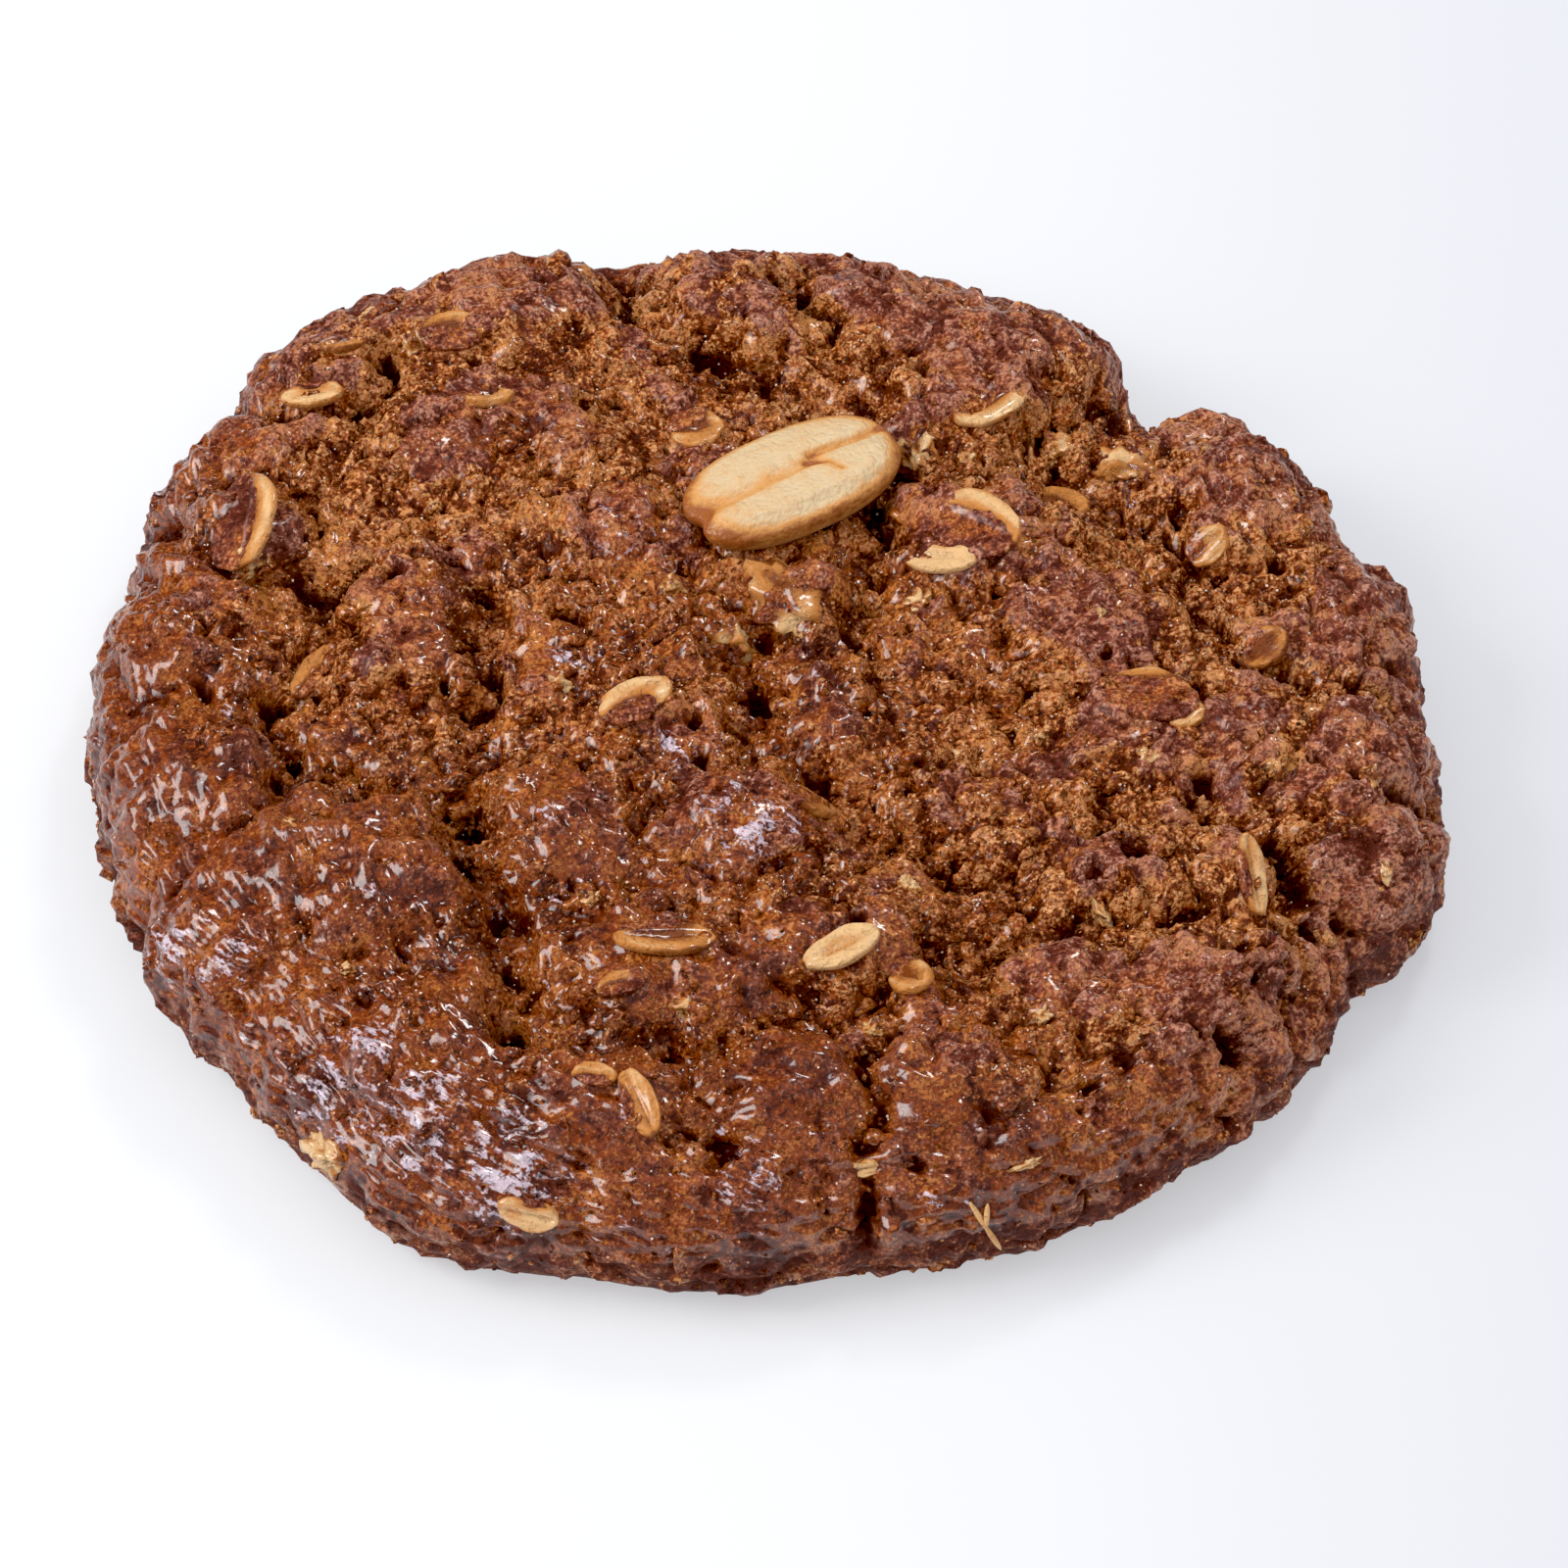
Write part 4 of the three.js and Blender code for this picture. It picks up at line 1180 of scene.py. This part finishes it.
@dataclass
class Shape:
    """A small mesh's points, faces and masks, ready to be placed and joined."""

    points: np.ndarray
    faces: np.ndarray
    masks: dict

    def placed(self, matrix: Matrix) -> "Shape":
        """The same shape moved by a matrix."""
        local = np.column_stack([self.points, np.ones(len(self.points))])
        return Shape((local @ np.array(matrix).T)[:, :3], self.faces, self.masks)


def taken(base: bpy.types.Object) -> Shape:
    """Reads a mesh of triangles as a shape and removes the object."""
    corners = np.empty(len(base.data.polygons) * 3, int)
    base.data.polygons.foreach_get("vertices", corners)
    shape = Shape(points_of(base), corners.reshape(-1, 3), {})
    bpy.data.objects.remove(base)
    return shape


def joined(name: str, shapes: Sequence[Shape]) -> bpy.types.Object:
    """Makes one mesh of many shapes given in millimetres, with their masks.

    Args:
        name: The new object's name.
        shapes: What to join, all with the same masks.

    Returns:
        The joined object.
    """
    starts = np.cumsum([0] + [len(shape.points) for shape in shapes[:-1]])
    points = np.concatenate([shape.points for shape in shapes]) * MM
    faces = np.concatenate([shape.faces + start for shape, start in zip(shapes, starts)])
    mesh = bpy.data.meshes.new(name)
    mesh.from_pydata(points.tolist(), [], faces.tolist())
    obj = bpy.data.objects.new(name, mesh)
    bpy.context.scene.collection.objects.link(obj)
    for mask in shapes[0].masks:
        write_mask(obj, mask, np.concatenate([shape.masks[mask] for shape in shapes]))
    write_patches(obj, points / MM)
    return obj


def turned_to(place: Vector, normal: Vector, turn: float, size: Sequence[float]) -> Matrix:
    """Where a copy lies: scaled, turned about its own axis, stood on a direction and moved to a place."""
    stand = normal.to_track_quat("Z", "Y").to_matrix().to_4x4()
    scale = Matrix.Diagonal((size[0], size[1], size[2], 1))
    return Matrix.Translation(place) @ stand @ Matrix.Rotation(turn, 4, "Z") @ scale


@dataclass
class Crumbs:
    """Clods and crumbs baked onto the dough, thickest where its skin is torn."""

    skin: Skin
    finish: bpy.types.Material
    name: str
    count: int
    smallest: float
    largest: float
    sunk: float
    seed: int
    on_skin: float
    kinds: int = 6
    evenness: float = 2.2

    def chance(self, place: np.ndarray, crumb: float) -> float:
        """How likely a crumb is to lie there: least on whole skin."""
        return self.on_skin + (1 - self.on_skin) * crumb ** 2

    @staticmethod
    def kind(ball: Shape, seed: int) -> np.ndarray:
        """One ragged crumb's points."""
        swell = 1 + 0.75 * noise_at(ball.points, 0.42, seed) + 0.35 * noise_at(ball.points, 0.2, seed + 9)
        return ball.points * swell[:, None]

    def build(self) -> bpy.types.Object:
        """Builds all crumbs as one mesh."""
        ball = taken(ball_of(2, 0.5))
        kinds = [self.kind(ball, seed) for seed in range(self.kinds)]
        draw = np.random.default_rng(self.seed)
        shapes = []
        for place, normal, vertex in self.skin.scatter(self.count, self.chance, self.seed):
            size = self.smallest + (self.largest - self.smallest) * draw.random() ** self.evenness
            stretch = [size * draw.uniform(0.7, 1.35) for _ in range(3)]
            matrix = turned_to(place - normal * size * self.sunk, normal, draw.uniform(0, FULL_TURN), stretch)
            masks = {
                "crumb": np.full(len(ball.points), draw.uniform(0.5, 1)),
                "tone_and_shade": np.full(len(ball.points), draw.uniform(-0.6, 0.7)),
                "glaze": np.full(len(ball.points), self.skin.values["glaze"][vertex]),
            }
            shapes.append(Shape(kinds[int(draw.integers(self.kinds))], ball.faces, masks).placed(matrix))
        obj = joined(self.name, shapes)
        finish_piece(obj, self.name, self.finish)
        return obj


@dataclass
class SugarGrains:
    """Small clear grains that glint all over the crumb."""

    skin: Skin
    count: int = 2600
    size: float = 0.17
    seed: int = 31
    on_skin: float = 0.12
    bevel: float = 0.22
    lift: float = 0.03
    lean: float = 0.8

    def chance(self, place: np.ndarray, crumb: float) -> float:
        """How likely a grain is to lie there: most on torn crumb."""
        return self.on_skin + (1 - self.on_skin) * crumb

    def build(self) -> bpy.types.Object:
        """Builds all grains as one mesh."""
        bpy.ops.object.select_all(action="DESELECT")
        bpy.ops.mesh.primitive_cube_add(size=1)
        base = bpy.context.object
        edit_mode(base)
        bpy.ops.mesh.bevel(offset=self.bevel, segments=1, affect="EDGES")
        bpy.ops.mesh.quads_convert_to_tris()
        bpy.ops.object.mode_set(mode="OBJECT")
        grain = taken(base)
        draw = np.random.default_rng(self.seed)
        shapes = []
        for place, normal, _ in self.skin.scatter(self.count, self.chance, self.seed):
            way = (normal + Vector(draw.uniform(-self.lean, self.lean, 3).tolist())).normalized()
            stretch = [self.size * draw.uniform(0.55, 1.25) for _ in range(3)]
            matrix = turned_to(place + normal * self.lift, way, draw.uniform(0, FULL_TURN), stretch)
            shapes.append(grain.placed(matrix))
        obj = joined("sugar_grains", shapes)
        finish_piece(obj, "sugar_grains", SugarFinish().build())
        return obj


@dataclass
class OatFlakes:
    """Rolled oats baked into the crust, where the solid has them too, each partly under dough."""

    skin: Skin
    finish: bpy.types.Material
    wide: float = 2.8

    def flake(
        self, ball: Shape, seed: int, width: float, bare_side: float, cover: float, toast: float
    ) -> Shape:
        """Shapes one flake from a ball: flattened, cupped, grooved along its length and uneven at its rim.

        Args:
            ball: A unit ball.
            seed: Picks another outline.
            width: The flake's width in millimetres.
            bare_side: Direction of the bare side in degrees, from the flake's own length.
            cover: How much of it the dough covers, from 0 to 1.
            toast: How toasted its bare flesh is, from 0 to 1.

        Returns:
            The flake, one unit long, wide and thick.
        """
        u, v, w = ball.points.T
        around = np.maximum(np.hypot(u, v), 1e-6)
        rim_line = np.column_stack([u / around, v / around, np.full(len(u), 0.3 * seed)])
        wavy = 1 + 0.12 * noise_at(rim_line, 0.8, seed) + 0.05 * noise_at(rim_line, 0.3, seed)
        reach = around ** 0.8 * wavy
        x = u / around * reach * 0.5
        y = v / around * reach * 0.5
        rim = 2 * np.hypot(x, y)
        z = np.sign(w) * np.abs(w) ** 0.6 * 0.5
        top = smoothstep(w, 0, 0.4)
        groove = np.exp(-(((y - 0.03 * np.sin(5 * x)) / 0.06) ** 2)) * smoothstep(0.5 - np.abs(x), 0, 0.2)
        z -= 0.3 * groove * top
        z += 0.22 * rim ** 2 + 0.12 * noise_at(ball.points, 0.45, seed + 40)
        side = math.radians(bare_side)
        ragged = 0.16 * noise_at(ball.points, 0.5, seed + 80) + 0.06 * noise_at(ball.points, 0.2, seed + 90)
        beyond = np.hypot(2 * x + math.cos(side), 2 * y + math.sin(side)) + ragged
        bare = smoothstep(beyond, 2 * cover - 0.05, 2 * cover + 0.05) if cover > 0 else np.ones(len(u))
        middle = smoothstep(rim, 0.8, 0.25)
        fibres = noise_at(np.column_stack([x * 1.6, y * 9, np.full(len(x), 1.7 * seed)]), 1, seed)
        browned = 0.5 * middle * top * (width > self.wide) + 0.25 * groove * top + 0.35 * fibres
        # Browner along the dough's edge, partly toast and partly painted contact shade; toasted at the rim
        browned += 0.55 * smoothstep(beyond, 2 * cover + 0.35, 2 * cover) * (cover > 0)
        browned += 0.3 * smoothstep(rim, 0.86, 1)
        masks = {"bare": bare, "toast": toast + browned, "glaze": 0.3 + 0.2 * middle}
        return Shape(np.column_stack([x, y, z]), ball.faces, masks)

    def build(self) -> bpy.types.Object:
        """Builds all flakes as one mesh."""
        ball = taken(ball_of(4, 1))
        shapes = []
        for seed, (x, y, length, width, turn, tilt, out, side, cover, toast) in enumerate(OATS):
            place, normal = self.skin.above(x, y)
            stand = Vector((0, 0, 1)).rotation_difference(normal).to_matrix().to_4x4()
            spin = Matrix.Rotation(math.radians(turn), 4, "Z") @ Matrix.Rotation(math.radians(tilt), 4, "X")
            scale = Matrix.Diagonal((length, width, OAT_THICKNESS, 1))
            lift = Matrix.Translation(place + normal * (out - OAT_THICKNESS / 2))
            shape = self.flake(ball, seed, width, side, cover, toast)
            shapes.append(shape.placed(lift @ stand @ spin @ scale))
        obj = joined("oat_flakes", shapes)
        finish_piece(obj, "oat_flakes", self.finish)
        return obj


@dataclass
class NutPieces:
    """Chopped nut and seeds in the crust: the larger ones stand where the solid has them."""

    skin: Skin
    finish: bpy.types.Material
    cuts: int = 9

    def chunk(self, ball: Shape, seed: int, bareness: float, toast: float) -> Shape:
        """Shapes one angular chunk from a ball by pressing flats into it.

        Args:
            ball: A unit ball.
            seed: Picks another chunk.
            bareness: How free of dough it is, from 0 to 1.
            toast: How toasted it is, from 0 to 1.

        Returns:
            The chunk, one unit across.
        """
        draw = np.random.default_rng(seed)
        reach = np.full(len(ball.points), 1.0)
        for _ in range(self.cuts):
            facing = draw.normal(size=3)
            facing /= np.linalg.norm(facing)
            toward = np.maximum(ball.points @ facing, 1e-3)
            reach = np.minimum(reach, draw.uniform(0.55, 0.85) / toward)
        reach *= 1.06 + 0.55 * noise_at(ball.points, 0.5, seed) + 0.35 * noise_at(ball.points, 0.22, seed)
        points = ball.points * reach[:, None] * 0.5
        ragged = noise_at(ball.points, 0.45, seed + 5)
        masks = {
            "bare": np.clip(bareness + 1.2 * ragged + 0.5 * points[:, 2], 0, 1),
            "glaze": np.full(len(points), 0.5),
            "toast": toast + 1.3 * noise_at(ball.points, 0.5, seed + 6),
        }
        return Shape(points, ball.faces, masks)

    def build(self) -> bpy.types.Object:
        """Builds all pieces as one mesh."""
        ball = taken(ball_of(4, 1))
        shapes = []
        for seed, (x, y, length, width, height, turn, out, bareness, toast) in enumerate(NUTS + BITS):
            place, normal = self.skin.above(x, y, 1.5)
            lift = place + normal * (out - height / 2)
            stand = Vector((0, 0, 1)).rotation_difference(normal).to_matrix().to_4x4()
            spin = Matrix.Rotation(math.radians(turn), 4, "Z")
            scale = Matrix.Diagonal((length, width, height, 1))
            matrix = Matrix.Translation(lift) @ stand @ spin @ scale
            shapes.append(self.chunk(ball, seed + 60, bareness, toast).placed(matrix))
        obj = joined("nut_pieces", shapes)
        finish_piece(obj, "nut_pieces", self.finish)
        return obj


@dataclass
class Fibres:
    """A forked pale fibre of oat husk that hangs on the front edge."""

    finish: bpy.types.Material
    thickness: float = 0.42
    # Ends of each straight stretch
    stretches: tuple = (
        ((14.5, -45.9, 9), (15.5, -46.6, 7.4)), ((15.6, -46, 9), (15.5, -46.6, 7.4)),
        ((15.5, -46.6, 7.4), (16.5, -46.6, 5.2)),
    )

    def build(self) -> bpy.types.Object:
        """Builds the fork as one mesh of thin rounded stretches."""
        ball = taken(ball_of(3, 0.5))
        shapes = []
        for start, end in self.stretches:
            a = Vector(start)
            b = Vector(end)
            along = b - a
            size = (self.thickness, self.thickness, along.length * 1.25)
            shape = Shape(ball.points, ball.faces, {
                "bare": np.ones(len(ball.points)), "toast": np.full(len(ball.points), 0.15),
            })
            shapes.append(shape.placed(turned_to((a + b) / 2, along.normalized(), 0, size)))
        obj = joined("husk_fibre", shapes)
        finish_piece(obj, "husk_fibre", self.finish)
        return obj


@dataclass
class PeanutHalf:
    """The half kernel: a rounded back in the dough and a nearly flat, grooved face on top."""

    effects: SharedEffects
    section: Section
    relief: Relief
    x: float = 2.2
    y: float = 18.4
    turn: float = 32
    length: float = 17.4
    width: float = 9.6
    thickness: float = 4.6
    sunk: float = 1.5
    face_flatness: float = 0.45
    bluntness: float = 2.5
    # Grooves of the face and the hooked mark: plan points that each passes, half-width, depth, browning
    grooves: tuple = (
        (((-8.4, 0.1), (-7.0, 0.2), (-4.8, -0.35), (-1.4, -0.25), (1.9, -0.2)), 0.75, 0.3, 0.55),
        (((1.9, 0.55), (5.7, 0.4), (8.2, 0.7)), 0.4, 0.42, 0.7),
        (((1.2, 0.0), (2.0, -0.3), (2.7, -1.1), (3.1, -2.0)), 0.3, 0.2, 0.8),
    )

    def seat(self) -> Vector:
        """Where the kernel's middle lies, as the solid's does."""
        radius = np.array([math.hypot(self.x, self.y)])
        angle = np.array([math.atan2(self.y, self.x)])
        r = radius * self.section.rim_radius / self.section.edge_radius(angle)
        step = 0.1
        z = self.section.top_height(r)
        slope = (self.section.top_height(r + step) - self.section.top_height(r - step)) / (2 * step)
        normal = np.column_stack([-slope * np.cos(angle), -slope * np.sin(angle), np.ones(1)])[0]
        normal /= np.linalg.norm(normal)
        place = np.array([self.x, self.y, z[0]])
        rise, _, _ = self.relief.at(place[None])
        place = place + normal * rise[0]
        middle = self.section.middle_height - self.sunk + self.thickness / (1 + self.face_flatness)
        return Vector((place[0], place[1], middle))

    @staticmethod
    def along_path(x: np.ndarray, y: np.ndarray, path: Sequence, width: float) -> np.ndarray:
        """A groove's profile, 1 on a path and 0 well away from it."""
        return np.exp(-((distance_to_path(x, y, path) / width) ** 2))

    def build(self) -> bpy.types.Object:
        """Builds the kernel and stands it in for its solid."""
        obj = ball_of(7, 1)
        u, v, w = points_of(obj).T
        around = np.hypot(u, v)
        power = self.bluntness
        blunt = np.maximum(np.abs(u) ** power + np.abs(v) ** power, 1e-12) ** (1 / power)
        square = np.where(around > 1e-6, around / blunt, 1)
        x = u * square * self.length / 2
        y = v * square * self.width / 2
        back = self.thickness / (1 + self.face_flatness)
        z = np.where(w < 0, w * back, np.abs(w) ** 0.75 * back * self.face_flatness)
        face = smoothstep(w, 0.15, 0.6)
        grooved = np.zeros(len(x))
        toast = np.zeros(len(x))
        for points, width, deep, browned in self.grooves:
            groove = self.along_path(x, y, points, width)
            grooved += deep * groove
            toast += browned * groove
        notch = np.exp(-(((x + 8.2) / 1.3) ** 2) - ((y + 0.3) / 0.8) ** 2)
        z -= grooved * face
        x += 0.7 * notch
        z += 0.28 * face * smoothstep(-y, 0.2, 1.2) * smoothstep(4.2 + y, 0, 1.5)
        local = np.column_stack([x, y, z])
        ripple = 0.05 * noise_at(local, 1.7, 1) + 0.035 * noise_at(local, 0.8, 2)
        local[:, 2] += ripple * face
        rim_share = np.abs(x / (self.length / 2)) ** power + np.abs(y / (self.width / 2)) ** power
        rim = smoothstep(rim_share, 0.58, 1.0)
        toast += rim * smoothstep(w, -0.7, 0.2) + 0.6 * notch
        toast += 0.35 * smoothstep(y, 2.0, 4.4) * smoothstep(x, 0, 6) + 0.12 * (w < 0)
        toast += 0.25 * np.exp(-(((x + 7.6) / 1.6) ** 2)) - 0.1
        c = math.cos(math.radians(self.turn))
        s = math.sin(math.radians(self.turn))
        spin = np.array([[c, -s, 0], [s, c, 0], [0, 0, 1]])
        low, high = (np.array(corner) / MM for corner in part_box("peanut_half"))
        placed = np.clip(local @ spin.T + np.array(self.seat()), low, high)
        write_points(obj, placed)
        write_mask(obj, "toast", toast)
        finish_piece(obj, "peanut", PeanutFinish(self.effects).build())
        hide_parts("peanut_half")
        return obj


class LightRole(Enum):
    """What each softbox does."""

    KEY = "key"
    TOP = "top"


@dataclass
class Studio:
    """The pale floor, the softboxes and the camera at the photograph's angle."""

    picture: int = 1600
    scale: float = 14.0
    distance: float = 520
    elevation: float = 47.5
    target: tuple = (1.6, -4.8, 7.0)
    floor_light: Colour = srgb(173, 174, 176)
    floor_dark: Colour = srgb(163, 164, 168)
    floor_glow: float = 1.06
    zenith: tuple = (1.12, 1.13, 1.16, 1)
    horizon: tuple = (0.41, 0.415, 0.43, 1)
    back_wall: tuple = (0.36, 0.36, 0.37, 1)
    # How much darker the room looks in reflections, where only the softboxes should show
    dimmed: float = 0.8
    black_level: float = 0.006
    floor_size: float = 3
    # Across the floor, where it starts to get darker and where it is darkest
    floor_shade: tuple = (-10, 75)
    # Softboxes: azimuth from the front in degrees, elevation in degrees, distance, size, watts
    boxes: ClassVar[dict] = {
        LightRole.KEY: (-79, 42, 450, 230, 1.14),
        LightRole.TOP: (150, 54, 500, 90, 0.5),
    }

    def place_camera(self) -> None:
        """Sets the camera so that one millimetre at the target is scale pixels of the picture."""
        data = bpy.data.cameras.new("camera")
        data.sensor_width = 36
        data.lens = self.scale * self.distance / self.picture * data.sensor_width
        data.clip_start = 0.01
        camera = bpy.data.objects.new("camera", data)
        bpy.context.scene.collection.objects.link(camera)
        lift = math.radians(self.elevation)
        back = Vector((0, -math.cos(lift), math.sin(lift)))
        camera.location = (Vector(self.target) + back * self.distance) * MM
        camera.rotation_euler = (math.pi / 2 - lift, 0, 0)
        bpy.context.scene.camera = camera

    def place_lights(self) -> None:
        """Hangs the softboxes, each turned to the cookie."""
        for role, (azimuth, lift, distance, size, watts) in self.boxes.items():
            data = bpy.data.lights.new(role.value, "AREA")
            data.shape = "SQUARE"
            data.size = size * MM
            data.energy = watts
            lamp = bpy.data.objects.new(role.value, data)
            bpy.context.scene.collection.objects.link(lamp)
            angle = math.radians(azimuth)
            up = math.radians(lift)
            way = Vector((math.sin(angle) * math.cos(up), -math.cos(angle) * math.cos(up), math.sin(up)))
            lamp.location = way * distance * MM
            lamp.rotation_euler = way.to_track_quat("Z", "Y").to_euler()

    def place_floor(self) -> None:
        """Lays the floor."""
        bpy.ops.object.select_all(action="DESELECT")
        bpy.ops.mesh.primitive_plane_add(size=self.floor_size)
        floor = bpy.context.object
        floor.name = "floor"
        material, graph, shader = start_material("pale_floor")
        across = graph.add("ShaderNodeSeparateXYZ", {0: graph.place()}).outputs[0]
        shade = graph.span(across, *self.floor_shade)
        tint = graph.mix(shade, self.floor_light, self.floor_dark)
        graph.feed(shader.inputs["Base Color"], tint)
        graph.feed(shader.inputs["Emission Color"], tint)
        shader.inputs["Emission Strength"].default_value = self.floor_glow
        shader.inputs["Roughness"].default_value = 0.8
        shader.inputs["Specular IOR Level"].default_value = 0.1
        floor.data.materials.append(material)

    def build_sky(self) -> bpy.types.World:
        """Builds the soft light of the room, brightest overhead."""
        world = bpy.data.worlds.new("studio")
        world.use_nodes = True
        graph = Graph(world.node_tree)
        way = graph.add("ShaderNodeTexCoord").outputs["Generated"]
        reflected = graph.add("ShaderNodeLightPath").outputs["Is Glossy Ray"]
        _, back, up = graph.add("ShaderNodeSeparateXYZ", {0: way}).outputs
        light = graph.mix(graph.span(up, 0, 0.9), self.horizon, self.zenith)
        light = graph.mix(graph.span(back, 0.2, 0.65), light, self.back_wall)
        light = graph.mix(graph.product(reflected, self.dimmed), light, srgb(0, 0, 0))
        graph.feed(world.node_tree.nodes["Background"].inputs["Color"], light)
        return world

    def build(self) -> None:
        """Lays the floor, lights it and sets how the picture is shown."""
        self.place_floor()
        scene = bpy.context.scene
        scene.world = self.build_sky()
        scene.view_settings.view_transform = "Standard"
        scene.view_settings.use_curve_mapping = True
        scene.view_settings.curve_mapping.black_level = (self.black_level,) * 3
        scene.view_settings.curve_mapping.update()
        self.place_lights()
        self.place_camera()


def main() -> None:
    """Builds the studio and each piece of the cookie in order."""
    logging.basicConfig(level=logging.INFO)
    Studio().build()
    effects = SharedEffects()
    section = Section()
    relief = Relief()
    crust = CrustFinish(effects).build()
    skin = Skin(Dough(effects, section, relief, crust).build())
    OatFlakes(skin, crust).build()
    NutPieces(skin, crust).build()
    Fibres(crust).build()
    Crumbs(
        skin, crust, "clods", count=1500, smallest=0.8, largest=2.0, sunk=0.22, seed=23, on_skin=0.04
    ).build()
    Crumbs(
        skin, crust, "crumbs", count=2480, smallest=0.3, largest=0.75, sunk=0.12, seed=21, on_skin=0.2
    ).build()
    SugarGrains(skin).build()
    PeanutHalf(effects, section, relief).build()


if __name__ == "__main__":
    main()
